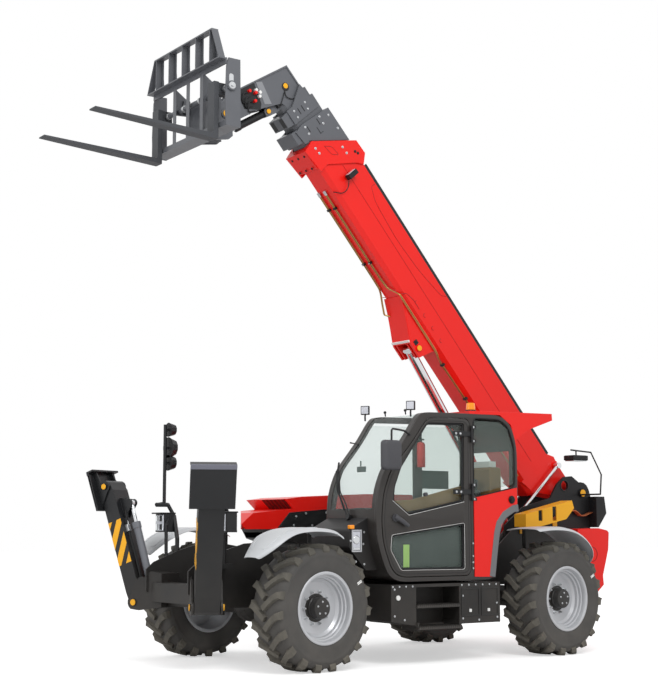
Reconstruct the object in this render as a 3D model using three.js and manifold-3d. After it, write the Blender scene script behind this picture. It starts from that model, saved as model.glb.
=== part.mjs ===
// A telescopic handler parked with its four-section boom raised, pallet forks on the carriage and
// both front stabilisers folded up. Millimetres: X points forward, Y to the driver's left, Z up, and
// the tyres stand on z = 0. Every moving piece is its own mesh, built round the pivot that it turns on.
import * as THREE from "three";
import { mergeVertices } from "three/addons/utils/BufferGeometryUtils.js";
import Module from "manifold-3d";

const wasm = await Module();
wasm.setup();

// ---- driving dimensions -----------------------------------------------------------------------

const FIT = 0.3; // between faces that touch
const PIN_FIT = 0.5; // at pins, rods and kingpins
const RUN = 6; // between pieces that move past each other

const WHEELBASE = 3060;
const TRACK = 2007;
const TYRE_RADIUS = 588;
const TYRE_WIDTH = 410;
const AXLE_HEIGHT = 575;
const RIM_RADIUS = 312; // bead seat
const CRAB = THREE.MathUtils.degToRad(6.4); // all four wheels stand turned to the left
const KINGPIN_Y = 800;
const WHEEL_OFFSET = TRACK / 2 - KINGPIN_Y; // from kingpin to wheel centre plane

const RAIL_OUT = 420; // chassis rails, outer face
const RAIL_T = 20;

const BOOM_PIVOT = { x: -2750, z: 1700 };
const BOOM_ANGLE = THREE.MathUtils.degToRad(49.2);
const BOOM_HALF = 160; // outer section, half width
const TOWER_IN = BOOM_HALF + 90; // boom tower plates, inner face
const TOWER_T = 25;
const BOOM_TOP = -40; // its top face, in the boom's own frame
const BOOM_BOTTOM = -545;
const BOOM_WALL = 10;
const SECTION_STEP = 11; // gap between one section and the next
const SECTION_WALL = 9;

const LIFT_FOOT = { x: -2050, z: 960 }; // lift cylinder, lower pin
const LIFT_EYE = { s: 2645, t: -738 }; // upper pin, in the boom's frame
const COMP_FOOT = { x: -1330, z: 985 }; // compensation cylinder
const COMP_EYE = { s: 436, t: -30 };
const COMP_Y = BOOM_HALF + 51;
const NOSE_PIVOT = { s: 5880, t: -1150 }; // carriage pivot, in the boom's frame
const TILT_FOOT = { s: 5625, t: -640 }; // tilt cylinder, in the boom's frame
const TILT_EYE = { x: -17, z: -190 }; // its rod eye, from the carriage pivot

const CAB_LEFT = 1130;
const CAB_RIGHT = 300;
const CAB_WALL = 40;
const CAB_FLOOR = 790; // underside of the cab
const FLOOR_TOP = CAB_FLOOR + CAB_WALL;
const GLASS = 6;
const DOOR_HINGE = { x: -338, y: 1150 };
const POD_IN = -350; // engine pod, boom side
const POD_OUT = -1130;
const POD_WALL = 12;
const HOOD_HINGE = { x: -914, z: 1300 };
const HOOD_KNUCKLES = [-1000, -560];

const LEG_PIVOT = { x: 2400, y: 620, z: 587 };
const LEG_SPLAY = THREE.MathUtils.degToRad(25);
const LEG_LEAN = THREE.MathUtils.degToRad(19.5);
const LEG_WIDTH = 235; // along the pivot pin
const LEG_DEPTH = 160;
const LEG_LENGTH = 1190; // pivot to foot pin
const LEG_FOOT = { d: -85, z: 200 }; // stabiliser cylinder, lower pin, outward and up from the pivot
const LEG_EYE = { k: 960, n: -172 }; // upper pin, along the leg and out from it

// ---- shape helpers ----------------------------------------------------------------------------

/** A closed three.js geometry as a solid that can be joined and cut. */
function solid(geometry) {
  const bare = geometry.clone();
  bare.deleteAttribute("normal");
  bare.deleteAttribute("uv");
  const merged = mergeVertices(bare, 1e-3);
  const corners = merged.index.array;
  const kept = [];
  for (let i = 0; i < corners.length; i += 3) {
    const [a, b, c] = [corners[i], corners[i + 1], corners[i + 2]];
    if (a !== b && b !== c && a !== c) kept.push(a, b, c);
  }
  return new wasm.Manifold(
    new wasm.Mesh({
      numProp: 3,
      vertProperties: new Float32Array(merged.attributes.position.array),
      triVerts: new Uint32Array(kept),
    }),
  );
}

/** The three.js geometry of a solid. */
function geometryOf(shape) {
  const { vertProperties, triVerts } = shape.getMesh();
  const geometry = new THREE.BufferGeometry();
  geometry.setAttribute("position", new THREE.BufferAttribute(vertProperties, 3));
  geometry.setIndex(new THREE.BufferAttribute(triVerts, 1));
  return geometry;
}

const join = (...shapes) => geometryOf(shapes.map(solid).reduce((all, one) => all.add(one)));
const cut = (shape, ...tools) =>
  geometryOf(tools.map(solid).reduce((all, one) => all.subtract(one), solid(shape)));
const common = (a, b) => geometryOf(solid(a).intersect(solid(b)));

const block = (x0, x1, y0, y1, z0, z1) =>
  new THREE.BoxGeometry(x1 - x0, y1 - y0, z1 - z0).translate((x0 + x1) / 2, (y0 + y1) / 2, (z0 + z1) / 2);

/** A flat outline, from corner points, with round holes given as [x, y, radius]. */
function outline(points, holes = []) {
  const shape = new THREE.Shape(points.map(([x, y]) => new THREE.Vector2(x, y)));
  for (const [x, y, radius] of holes) {
    const hole = new THREE.Path();
    hole.absarc(x, y, radius, 0, 2 * Math.PI);
    shape.holes.push(hole);
  }
  return shape;
}

const extrude = (shape, depth, curveSegments = 6) =>
  new THREE.ExtrudeGeometry(shape, { depth, bevelEnabled: false, curveSegments });

/** An outline in X and Z, from y0 to y1. */
const plate = (points, y0, y1, holes) =>
  extrude(outline(points, holes), y1 - y0).rotateX(Math.PI / 2).translate(0, y1, 0);

/** An outline in X and Y, from z0 to z1. */
const slab = (points, z0, z1, holes) => extrude(outline(points, holes), z1 - z0).translate(0, 0, z0);

/** An outline in Y and Z, from x0 to x1. */
function beam(points, x0, x1, holes) {
  const turn = new THREE.Matrix4().makeBasis(
    new THREE.Vector3(0, 1, 0),
    new THREE.Vector3(0, 0, 1),
    new THREE.Vector3(1, 0, 0),
  );
  return extrude(outline(points, holes), x1 - x0).applyMatrix4(turn).translate(x0, 0, 0);
}

/** A round bar or cone between two points. */
function rod(from, to, radius, sides = 12, endRadius = radius) {
  const start = new THREE.Vector3(...from);
  const reach = new THREE.Vector3(...to).sub(start);
  const bar = new THREE.CylinderGeometry(endRadius, radius, reach.length(), sides);
  bar.translate(0, reach.length() / 2, 0);
  const upward = new THREE.Vector3(0, 1, 0);
  bar.applyQuaternion(new THREE.Quaternion().setFromUnitVectors(upward, reach.normalize()));
  return bar.translate(...from);
}

/** A round bar along Y, as pins and bosses are. */
const pin = (x, z, y0, y1, radius, sides = 12) => rod([x, y0, z], [x, y1, z], radius, sides);

/** A bent tube through points, with a ball at each bend. */
function tube(points, radius, sides = 6) {
  const pieces = [];
  for (let i = 0; i + 1 < points.length; i++) pieces.push(rod(points[i], points[i + 1], radius, sides));
  for (const point of points.slice(1, -1)) {
    pieces.push(new THREE.SphereGeometry(radius * 1.05, sides, 4).translate(...point));
  }
  return join(...pieces);
}

/** A turned shape about Y; its [radius, y] points start and end on the axis, or close on themselves. */
const turned = (profile, segments) =>
  new THREE.LatheGeometry(profile.map(([r, y]) => new THREE.Vector2(r, y)), segments);

/** The outline moved inward by a distance; its corners run anticlockwise. */
function inset(points, distance) {
  const count = points.length;
  return points.map((point, i) => {
    const before = points[(i + count - 1) % count];
    const after = points[(i + 1) % count];
    const a = new THREE.Vector2(point[0] - before[0], point[1] - before[1]).normalize();
    const b = new THREE.Vector2(after[0] - point[0], after[1] - point[1]).normalize();
    const scale = distance / (1 + a.dot(b));
    return [point[0] - (a.y + b.y) * scale, point[1] + (a.x + b.x) * scale];
  });
}

/** Points on a circle's arc, in degrees, for the round end of a lug. */
function arc(x, z, radius, from, to, steps = 6) {
  return Array.from({ length: steps + 1 }, (_, i) => {
    const angle = THREE.MathUtils.degToRad(from + ((to - from) * i) / steps);
    return [x + radius * Math.cos(angle), z + radius * Math.sin(angle)];
  });
}

/** From a to b on the left side, or the same span mirrored to the right. */
const span = (side, a, b) => (side > 0 ? [a, b] : [-b, -a]);

const mirror = (points) => points.map(([y, z]) => [-y, z]).reverse();

// ---- finishes ---------------------------------------------------------------------------------

const FINISHES = {
  red: [0xd9281f, 0.35, 0.1],
  black: [0x1b1c1e, 0.55, 0.2],
  grey: [0x4a4d50, 0.5, 0.3],
  silver: [0xc9ccce, 0.35, 0.5],
  chrome: [0xdfe2e4, 0.12, 1],
  rubber: [0x3b3a36, 0.9, 0],
  glass: [0x9fb5ad, 0.05, 0],
  yellow: [0xf0a51e, 0.45, 0.1],
  fender: [0xa9adb2, 0.3, 0.1],
  cloth: [0x2b2c2e, 0.85, 0],
};

/** One named sub-part. */
function part(name, geometry, finish) {
  const [color, roughness, metalness] = FINISHES[finish];
  const mesh = new THREE.Mesh(geometry, new THREE.MeshStandardMaterial({ color, roughness, metalness }));
  mesh.name = name;
  return mesh;
}

/** A group with its origin at a place, holding its meshes. */
function groupAt(x, y, z, ...meshes) {
  const group = new THREE.Group();
  group.position.set(x, y, z);
  group.add(...meshes);
  return group;
}

// ---- wheels, knuckles and axles ---------------------------------------------------------------

const WHEEL_FACETS = 24;
const FLANGE_Y = 190; // rim flange, from the wheel centre plane
const HUB_FACE = 20; // hub's inner face, from the wheel centre plane

function tyreShape() {
  const half = TYRE_WIDTH / 2;
  const bead = RIM_RADIUS + FIT;
  const profile = [
    [bead, -FLANGE_Y],
    [bead, FLANGE_Y],
    [bead + 24, FLANGE_Y],
    [bead + 90, half],
    [TYRE_RADIUS - 50, half - 4],
    [TYRE_RADIUS, half - 60],
    [TYRE_RADIUS, 60 - half],
    [TYRE_RADIUS - 50, 4 - half],
    [bead + 90, -half],
    [bead + 24, -FLANGE_Y],
    [bead, -FLANGE_Y],
  ];
  return turned(profile.reverse(), WHEEL_FACETS);
}

function tyre() {
  const drop = 2 * TYRE_RADIUS;
  return cut(tyreShape(), block(-drop, drop, -drop, drop, -drop, -AXLE_HEIGHT));
}

function rim() {
  const lip = RIM_RADIUS + 20;
  const edge = FLANGE_Y + FIT;
  const disc = 50;
  return turned(
    [
      [0, 155],
      [98, 155],
      [98, disc],
      [284, disc],
      [296, edge + 10],
      [lip, edge + 10],
      [lip, edge],
      [RIM_RADIUS, edge],
      [RIM_RADIUS, -edge],
      [lip, -edge],
      [lip, -edge - 10],
      [296, -edge - 10],
      [288, disc - 20],
      [130, HUB_FACE],
      [0, HUB_FACE],
    ].reverse(),
    WHEEL_FACETS,
  );
}

const KNUCKLE_H = 105; // half height between the yoke's arms
const POST_X = 170; // fender post, along the wheel from the kingpin

/** The knuckle between the yoke's arms, with the post that carries the fender. */
function knuckle(post) {
  const spindle = WHEEL_OFFSET + HUB_FACE - FIT;
  const postSide = [
    [post - 20, 20],
    [post + 20, 20],
    [post + 20, fenderHeight(post + 20) - FIT],
    [post - 20, fenderHeight(post - 20) - FIT],
  ];
  return join(
    rod([0, 0, PIN_FIT - KNUCKLE_H], [0, 0, KNUCKLE_H - PIN_FIT], 72),
    rod([0, 40, 0], [0, spindle, 0], 100, 16),
    block(Math.min(0, post), Math.max(0, post), -36, -20, 20, 80),
    plate(postSide, -36, -20),
  );
}

// The fender's centre line in the wheel's side view, from the wheel centre: rear end to front end.
const FRONT_FENDER = [
  [-230, 640],
  [-120, 695],
  [40, 714],
  [200, 712],
  [360, 690],
  [500, 630],
  [620, 540],
  [735, 425],
];
const REAR_FENDER = [
  [-515, 330],
  [-490, 440],
  [-410, 550],
  [-290, 640],
  [-130, 700],
  [60, 724],
  [270, 722],
  [480, 705],
];
const FENDER_T = 12;
const FENDER_OUT = WHEEL_OFFSET + TYRE_WIDTH / 2 + 8; // outer edge, from the kingpin
const FENDER_IN = -36;

/** The fender's underside above a post, from its side view. */
function fenderHeight(x) {
  const line = x < 0 ? FRONT_FENDER : REAR_FENDER;
  const next = line.findIndex(([px]) => px > x);
  const [a, b] = [line[next - 1], line[next]];
  return a[1] + ((b[1] - a[1]) * (x - a[0])) / (b[0] - a[0]);
}

// What the fenders' corners lose so that they clear the chassis, the stabilisers and the pod at full lock.
const FRONT_CORNERS = [
  [[450, -60], [760, -60], [760, 90], [735, 80], [450, FENDER_IN]],
  [[620, 440], [620, 416], [735, 215], [760, 215], [760, 440]],
];
const REAR_CORNERS = [[[425, 440], [425, 417], [480, 340], [520, 340], [520, 440]]];

function fender(line, corners) {
  const low = -900;
  const closed = [...line, [line.at(-1)[0] + 10, low], [line[0][0] - 10, low]];
  const over = inset(closed, FENDER_T).slice(0, line.length);
  const lowered = line.map(([x, z]) => [x * 0.955, z * 0.955]);
  const shell = join(
    plate([...line, ...over.reverse()], FENDER_IN, FENDER_OUT),
    plate([...line, ...lowered.reverse()], FENDER_OUT - 10, FENDER_OUT),
  );
  return cut(shell, ...corners.map((points) => slab(points, 0, 900)));
}

function wheelStation(corner, x, side) {
  const front = x > 0;
  const post = front ? -POST_X : POST_X;
  const shell = front ? fender(FRONT_FENDER, FRONT_CORNERS) : fender(REAR_FENDER, REAR_CORNERS);
  const sided = (geometry) => (side > 0 ? geometry : mirrorY(geometry));
  const station = groupAt(
    x,
    side * KINGPIN_Y,
    AXLE_HEIGHT,
    part(`knuckle_${corner}`, sided(knuckle(post)), "black"),
    part(`fender_${corner}`, sided(shell), "fender"),
  );
  const hub = groupAt(0, side * WHEEL_OFFSET, 0, part(`tyre_${corner}`, tyre(), "rubber"));
  hub.add(part(`rim_${corner}`, side > 0 ? rim() : rim().rotateZ(Math.PI), "silver"));
  station.add(hub);
  station.rotation.z = CRAB;
  return station;
}

/** The shape mirrored to the other side of the vehicle. */
function mirrorY(geometry) {
  const flipped = mergeVertices(stripped(geometry)).scale(1, -1, 1);
  const corners = flipped.index.array;
  for (let i = 0; i < corners.length; i += 3) [corners[i], corners[i + 1]] = [corners[i + 1], corners[i]];
  return flipped;
}

function stripped(geometry) {
  const bare = geometry.clone();
  bare.deleteAttribute("normal");
  bare.deleteAttribute("uv");
  return bare;
}

const BEAM_R = 110;
const BALL_R = 185;

function axle(x) {
  const yokes = [1, -1].flatMap((side) => {
    const arm = span(side, KINGPIN_Y - 150, KINGPIN_Y + 60);
    const back = span(side, KINGPIN_Y - 170, KINGPIN_Y - 95);
    return [
      block(x - 55, x + 55, ...arm, AXLE_HEIGHT + KNUCKLE_H, AXLE_HEIGHT + KNUCKLE_H + 45),
      block(x - 55, x + 55, ...arm, AXLE_HEIGHT - KNUCKLE_H - 45, AXLE_HEIGHT - KNUCKLE_H),
      block(x - 70, x + 70, ...back, AXLE_HEIGHT - 150, AXLE_HEIGHT + 150),
      block(x - 80, x + 80, ...span(side, 370, 450), AXLE_HEIGHT, SADDLE_Z - FIT),
    ];
  });
  return join(
    rod([x, 118 - KINGPIN_Y, AXLE_HEIGHT], [x, KINGPIN_Y - 118, AXLE_HEIGHT], BEAM_R),
    new THREE.SphereGeometry(BALL_R, 16, 9).translate(x, 0, AXLE_HEIGHT),
    rod([x - 140, -420, AXLE_HEIGHT + 20], [x - 140, 420, AXLE_HEIGHT + 20], 38, 12),
    block(x - 150, x, -60, 60, AXLE_HEIGHT - 20, AXLE_HEIGHT + 60),
    ...yokes,
  );
}

/** The gearbox on the belly plate and the shafts to both axles. */
function driveline() {
  const reach = WHEELBASE / 2 - BALL_R - FIT;
  return [
    block(-260, 260, -150, 190, 425, 700),
    rod([-reach, 0, AXLE_HEIGHT], [reach, 0, AXLE_HEIGHT], 38, 12),
  ];
}

// ---- chassis ----------------------------------------------------------------------------------

const SADDLE_Z = 712; // underside of the rails over the axles

function rail(side) {
  const half = WHEELBASE / 2;
  const points = [
    [2300, 560],
    [2480, 700],
    [2480, 905],
    [2397, 976],
    [2146, 1078],
    [1875, 1156],
    [1715, 1164],
    [1330, 1100],
    [1150, 870],
    [860, 770],
    [-900, 770],
    [-1180, 1000],
    [-1560, 1300],
    [-2400, 1300],
    [-2400, 720],
    [-half - 190, SADDLE_Z],
    [-half + 190, SADDLE_Z],
    [-half + 330, 420],
    [half - 330, 420],
    [half - 190, SADDLE_Z],
    [half + 190, SADDLE_Z],
    [half + 290, 560],
  ];
  return plate(points, side > 0 ? RAIL_OUT - RAIL_T : -RAIL_OUT, side > 0 ? RAIL_OUT : RAIL_T - RAIL_OUT);
}

function towerPlate(side) {
  const points = [
    [-1600, 780],
    [-1560, 1330],
    [-1830, 1530],
    [-2260, 1640],
    [-2370, 1800],
    [-2480, 1880],
    [-2600, 1890],
    [-2730, 1810],
    ...arc(BOOM_PIVOT.x, BOOM_PIVOT.z, 125, 60, 160, 4),
    [-2960, 1480],
    [-2880, 1310],
    [-2860, 780],
  ].reverse();
  const y0 = side > 0 ? TOWER_IN : -TOWER_IN - TOWER_T;
  return plate(points, y0, y0 + TOWER_T, [[-2480, 1780, 55]]);
}

/** Two ears with a pin hole for a cylinder's eye, as a pair of plates on either side of y. */
function ears(points, y, gap, thickness) {
  return [
    plate(points, y + gap / 2, y + gap / 2 + thickness),
    plate(points, y - gap / 2 - thickness, y - gap / 2),
  ];
}

const LEG_EAR = LEG_WIDTH / 2 + RUN; // housing plates beside the leg
const LEG_PLATE = 20;

/** The splayed housing that carries a stabiliser leg, in its own frame and then set in place. */
function legHousing(side) {
  const out = (points) => (side > 0 ? points : mirror(points));
  const cheek = out([
    [-330, -40],
    [-60, -75],
    ...arc(0, 0, 75, -60, 60, 5),
    [-20, 240],
    ...arc(LEG_FOOT.d, LEG_FOOT.z, 48, 20, 130, 3),
    [-200, 300],
    [-330, 280],
  ]);
  const shape = join(
    beam(cheek, LEG_EAR, LEG_EAR + LEG_PLATE),
    beam(cheek, -LEG_EAR - LEG_PLATE, -LEG_EAR),
    rod([LEG_EAR + LEG_PLATE, 0, 0], [LEG_EAR + LEG_PLATE + 12, 0, 0], 34),
    beam(out([[-330, -40], [-200, -52], [-200, 300], [-330, 280]]), -LEG_EAR - 10, LEG_EAR + 10),
  );
  return shape.rotateZ(-side * LEG_SPLAY).translate(LEG_PIVOT.x, side * LEG_PIVOT.y, LEG_PIVOT.z);
}

function liftMount() {
  const { x, z } = LIFT_FOOT;
  const points = [[x - 150, 800], [x + 150, 800], ...arc(x, z, 78, 0, 180, 6)];
  const y = LIFT_EYE_W / 2 + PIN_FIT;
  return [
    ...ears(points, 0, 2 * y, 25),
    pin(x, z, y + 20, y + 45, 45),
    pin(x, z, -y - 45, -y - 20, 45),
    block(x - 260, x + 420, -TOWER_IN - 5, TOWER_IN + 5, 780, 810),
  ];
}

function compMount() {
  const { x, z } = COMP_FOOT;
  const inner = COMP_Y - COMP_EYE_W / 2 - PIN_FIT;
  return [
    plate([[x - 90, 700], [x + 90, 700], ...arc(x, z, 55, 0, 180, 6)], inner - 18, inner),
    block(x - 90, x + 90, inner - 18, RAIL_OUT - 10, 700, 725),
  ];
}

function frame() {
  const inner = RAIL_OUT - RAIL_T + 5;
  return join(
    rail(1),
    rail(-1),
    towerPlate(1),
    towerPlate(-1),
    block(-1250, 1250, -inner, inner, 420, 432),
    block(1900, 2300, -inner, inner, 560, 600),
    block(2240, 2300, -inner, inner, 560, 780),
    block(1000, 1060, -inner, inner, 560, 740),
    block(-1060, -1000, -inner, inner, 425, 700),
    block(-2400, -2340, -inner, inner, 720, 780),
    block(-2870, -1600, -TOWER_IN - 5, TOWER_IN + 5, 760, 785),
    block(-2885, -2860, -TOWER_IN - 5, TOWER_IN + 5, 780, 1400),
    ...[1, -1].flatMap((side) => [
      block(-2380, -1640, ...span(side, TOWER_IN + 5, inner), 1270, 1300),
      block(-2380, -1640, ...span(side, TOWER_IN + 5, inner), 760, 785),
      legHousing(side),
      pin(BOOM_PIVOT.x, BOOM_PIVOT.z, ...span(side, TOWER_IN + TOWER_T - 5, TOWER_IN + TOWER_T + 22), 48),
    ]),
    block(2290, 2440, -RAIL_OUT - 60, RAIL_OUT + 60, 600, 780),
    ...liftMount(),
    ...compMount(),
    ...rearCover(),
    ...driveline(),
    ...rearMirror(),
  );
}

/** The black cover over the valves behind the tower. */
function rearCover() {
  const points = [[-2990, 1660], [-3020, 1470], [-2890, 1310], [-2860, 1310], [-2860, 1660]];
  return [TOWER_IN + 3, -TOWER_IN - TOWER_T - 125].map((y) => plate(points, y, y + 147));
}

function counterweight() {
  const points = [
    [-2420 - FIT, 1290],
    [-2754, 1300],
    [-2890, 1275],
    [-2915, 1250],
    [-2900, 1062],
    [-2806, 773],
    [-2817, 669],
    [-2713, 586],
    [-2500, 600],
    [-2420 - FIT, 700],
  ];
  const half = 530;
  const tower = TOWER_IN + TOWER_T;
  return cut(
    plate(points, -half, half),
    block(-2900, -2400, -tower - FIT, tower + FIT, 755, 1400),
    block(-3000, -2860 + FIT, -tower - 130, tower + 130, 1305, 1400),
    block(-2905, -2865, -tower - 25, tower + 25, 755, 1400),
  );
}

/** The slotted step guard over the left rear wheel. */
function rearGuard() {
  const face = [[-1570, 1315], [-1570, 1450], [-2270, 1605], [-2300, 1520], [-2180, 1400], [-1760, 1312]];
  const y0 = RAIL_OUT + FIT;
  const shell = cut(plate(face, y0, 600), plate(inset(face, 12), y0 - 5, 588));
  const slot = (x) => block(x, x + 60, 560, 640, 1380, 1470 + (-x - 1700) * 0.2);
  const leg = (x, top) => block(x, x + 60, y0, y0 + 12, 1240, top);
  return join(cut(shell, slot(-1820), slot(-2030)), leg(-1700, 1322), leg(-2200, 1404));
}

// ---- cab --------------------------------------------------------------------------------------

const CAB_OUTLINE = [
  [-640, CAB_FLOOR],
  [590, CAB_FLOOR],
  [720, 860],
  [830, 1142],
  [855, 1369],
  [835, 1640],
  [745, 1870],
  [480, 2180],
  [330, 2400],
  [260, 2432],
  [-740, 2446],
  [-890, 2350],
  [-965, 2130],
  [-965, 1480],
  [-800, 1405],
  [-712, 1250],
];
const DOOR_OUTLINE = [
  [-325, 838],
  [560, 838],
  [665, 900],
  [765, 1150],
  [786, 1369],
  [764, 1620],
  [684, 1838],
  [400, 2140],
  [240, 2345],
  [180, 2378],
  [-325, 2388],
];
const QUARTER = [[-395, 2378], [-740, 2375], [-845, 2310], [-915, 2120], [-915, 1745], [-395, 1640]];
const RIGHT_PANE = [
  [-900, 1100],
  [690, 1100],
  [790, 1380],
  [700, 1830],
  [330, 2340],
  [-740, 2370],
  [-880, 2300],
  [-900, 2120],
];

/** The cab's hollow shell, with its openings cut. */
function cabFrame() {
  const shell = cut(
    plate(CAB_OUTLINE, CAB_RIGHT, CAB_LEFT),
    plate(inset(CAB_OUTLINE, CAB_WALL), CAB_RIGHT + CAB_WALL, CAB_LEFT - CAB_WALL),
  );
  const open = cut(
    shell,
    plate(inset(DOOR_OUTLINE, -RUN), CAB_LEFT - CAB_WALL - 5, CAB_LEFT + 5),
    plate(QUARTER, CAB_LEFT - CAB_WALL - 5, CAB_LEFT + 5),
    plate(RIGHT_PANE, CAB_RIGHT - 5, CAB_RIGHT + CAB_WALL + 5),
    block(400, 900, WIND[0], WIND[1], WIND[2], WIND[3]),
    block(-1000, -860, REAR[0], REAR[1], REAR[2], REAR[3]),
  );
  const nose = [[700, 900], [870, 900], [1065, 1110], [1065, 1290], [850, 1400], [700, 1400]];
  const { x, y } = DOOR_HINGE;
  const knuckles = HINGE_Z.flatMap((z) =>
    [z - HINGE_H - 30, z + HINGE_H + PIN_FIT].flatMap((foot) => {
      const z1 = foot + 30 - PIN_FIT;
      const leaf = block(x - 100, x, CAB_LEFT - 2, CAB_LEFT + 16, foot, z1);
      return [rod([x, y, foot], [x, y, z1], 13, 10), leaf];
    }),
  );
  return join(
    open,
    cut(plate(nose, 330, 985), plate(inset(CAB_OUTLINE, 5), CAB_RIGHT, CAB_LEFT)),
    block(CAB_FOOT_X[0], CAB_FOOT_X[1], CAB_RIGHT + 20, RAIL_OUT + 60, 770 + FIT, 800),
    ...knuckles,
    ...cabMirror(),
  );
}

const HINGE_Z = [1705, 2220];
const HINGE_H = 55;
const CAB_FOOT_X = [-560, 520];
const WIND = [CAB_RIGHT + 55, CAB_LEFT - 55, 1445, 2330];
const REAR = [CAB_RIGHT + 70, CAB_LEFT - 70, 1560, 2110];

/** A flat pane in its own opening in one of the side walls. */
const sidePane = (points, y) => plate(inset(points, FIT), y, y + GLASS);

/** The windscreen follows the cab's front outline. */
function windscreen() {
  const band = cut(
    plate(inset(CAB_OUTLINE, 8), WIND[0] + FIT, WIND[1] - FIT),
    plate(inset(CAB_OUTLINE, 8 + GLASS), WIND[0] - 5, WIND[1] + 5),
  );
  return common(band, block(400, 900, 0, 2000, WIND[2] + FIT, WIND[3] - FIT));
}

function rearWindow() {
  const x = -945;
  return block(x, x + GLASS, REAR[0] + FIT, REAR[1] - FIT, REAR[2] + FIT, REAR[3] - FIT);
}

const DOOR_IN = CAB_LEFT - CAB_WALL + 4;
const DOOR_UPPER = [
  [470, 1440],
  [720, 1600],
  [640, 1820],
  [360, 2110],
  [190, 2290],
  [-255, 2300],
  [-255, 1570],
];
const DOOR_LOWER = [[-255, 900], [-255, 1290], [715, 1255], [690, 1100], [560, 905]].reverse();

function cabDoor() {
  const shell = plate(DOOR_OUTLINE, DOOR_IN, CAB_LEFT + 4);
  const openings = [DOOR_UPPER, DOOR_LOWER].map((points) => plate(points, DOOR_IN - 5, CAB_LEFT + 10));
  const { x, y } = DOOR_HINGE;
  const hinges = HINGE_Z.flatMap((z) => [
    rod([x, y, z - HINGE_H], [x, y, z + HINGE_H], 13, 10),
    block(x, x + 150, CAB_LEFT + 2, CAB_LEFT + 18, z - 40, z + 40),
  ]);
  const out = CAB_LEFT + 55;
  const handle = tube([[640, CAB_LEFT, 1420], [640, out, 1400], [500, out, 1330], [500, CAB_LEFT, 1330]], 14);
  return join(cut(shell, ...openings), ...hinges, handle);
}

/** One sheet bonded inside the door, behind both of its openings. */
const doorGlass = () => plate(inset(DOOR_OUTLINE, 34), DOOR_IN - FIT - GLASS, DOOR_IN - FIT);

/** The red panel behind the door, outside the cab's shell. */
function cabPanel() {
  const points = [
    [-365, 822],
    [-365, 1600],
    [-950, 1712],
    [-950, 1479],
    [-780, 1408],
    [-693, 1253],
    [-625, 816],
  ];
  return plate(points, CAB_LEFT + FIT, CAB_LEFT + 10);
}

/** The red roof that runs back as a visor. */
function cabRoof() {
  const side = [
    [-900, 2200],
    [-960, 2200],
    [-1130, 2310],
    [-1480, 2425],
    [-1475, 2495],
    [-330, 2474],
    [-330, 2440],
  ].reverse();
  const under = [[-1440, 2475], [-1440, 2400], [-1120, 2290], [-975, 2150], [-940, 2380], [-860, 2460]];
  return cut(
    plate(side, CAB_RIGHT + 6, CAB_LEFT - 4),
    plate(inset(CAB_OUTLINE, -FIT), CAB_RIGHT - 5, CAB_LEFT + 5),
    plate(under, CAB_RIGHT + 20, CAB_LEFT - 20),
  );
}

function seat() {
  return join(
    block(-480, -80, 500, 940, FLOOR_TOP + FIT, 1060),
    plate([[-560, 1050], [20, 1080], [40, 1180], [-480, 1175], [-600, 1800], [-700, 1790]], 470, 970),
    block(-430, 60, 985, 1040, 1280, 1330),
    block(-430, -380, 960, 1000, 1130, 1330),
  );
}

/** The steering wheel on its column. */
function steeringWheel() {
  const centre = [330, 720, 1420];
  const wheel = new THREE.TorusGeometry(185, 16, 5, 16);
  wheel.rotateY(THREE.MathUtils.degToRad(35)).translate(...centre);
  return [
    wheel,
    rod([640, 720, 970], centre, 42, 12),
    rod([330, 720, 1420], [318, 720, 1403], 60, 12),
    ...[0, 120, 240].map((degrees) => {
      const angle = THREE.MathUtils.degToRad(degrees);
      const lean = THREE.MathUtils.degToRad(35);
      const [u, v] = [185 * Math.cos(angle), 185 * Math.sin(angle)];
      const end = [centre[0] + u * Math.cos(lean), centre[1] + v, centre[2] - u * Math.sin(lean)];
      return rod(centre, end, 12, 8);
    }),
  ];
}

/** The dash and its pedestal, with the steering column on it. */
function dashboard() {
  const points = [
    [540, FLOOR_TOP + FIT],
    [570, FLOOR_TOP + FIT],
    [665, 905],
    [750, 1150],
    [775, 1375],
    [760, 1390],
    [630, 1340],
    [650, 1100],
  ];
  const inside = plate(inset(CAB_OUTLINE, CAB_WALL + FIT), CAB_RIGHT, CAB_LEFT);
  return join(
    common(plate(points, CAB_RIGHT + CAB_WALL + FIT, CAB_LEFT - CAB_WALL - 20), inside),
    block(590, 660, 660, 780, 930, 1010),
    ...steeringWheel(),
  );
}

function sideBox() {
  const top = 765;
  const [inner, outer] = [RAIL_OUT + FIT, CAB_LEFT];
  const rear = block(-700, -170, inner, outer, 370, top);
  const front = plate([[-175, 370], [380, 370], [680, 420], [680, top], [-175, top]], inner, outer);
  const recess = block(-165, 377, outer - 260, outer + 5, 300, 735);
  const treads = [535, 330].map((z, i) =>
    block(-165, 377, outer - 215 - i * 10, outer + 10 + i * 25, z, z + 28),
  );
  const hanger = [-165, 357].map((x) => block(x, x + 20, outer - 225, outer + 20, 318, 400));
  return join(cut(join(rear, front), recess), ...treads, ...hanger);
}

/** The driver's mirror and its arm on the front pillar. */
function cabMirror() {
  return [
    tube([[430, CAB_LEFT - 10, 2200], [640, 1235, 2232], [785, 1290, 2238], [785, 1290, 2120]], 10),
    block(690, 890, 1262, 1318, 1850, 2125),
  ];
}

// ---- engine side ------------------------------------------------------------------------------

const POD_OUTLINE = [
  [-740, 480],
  [740, 480],
  [740, 1140],
  [900, 1190],
  [960, 1290],
  [-900, 1290],
  [-900, 1190],
  [-740, 1140],
];

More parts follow.
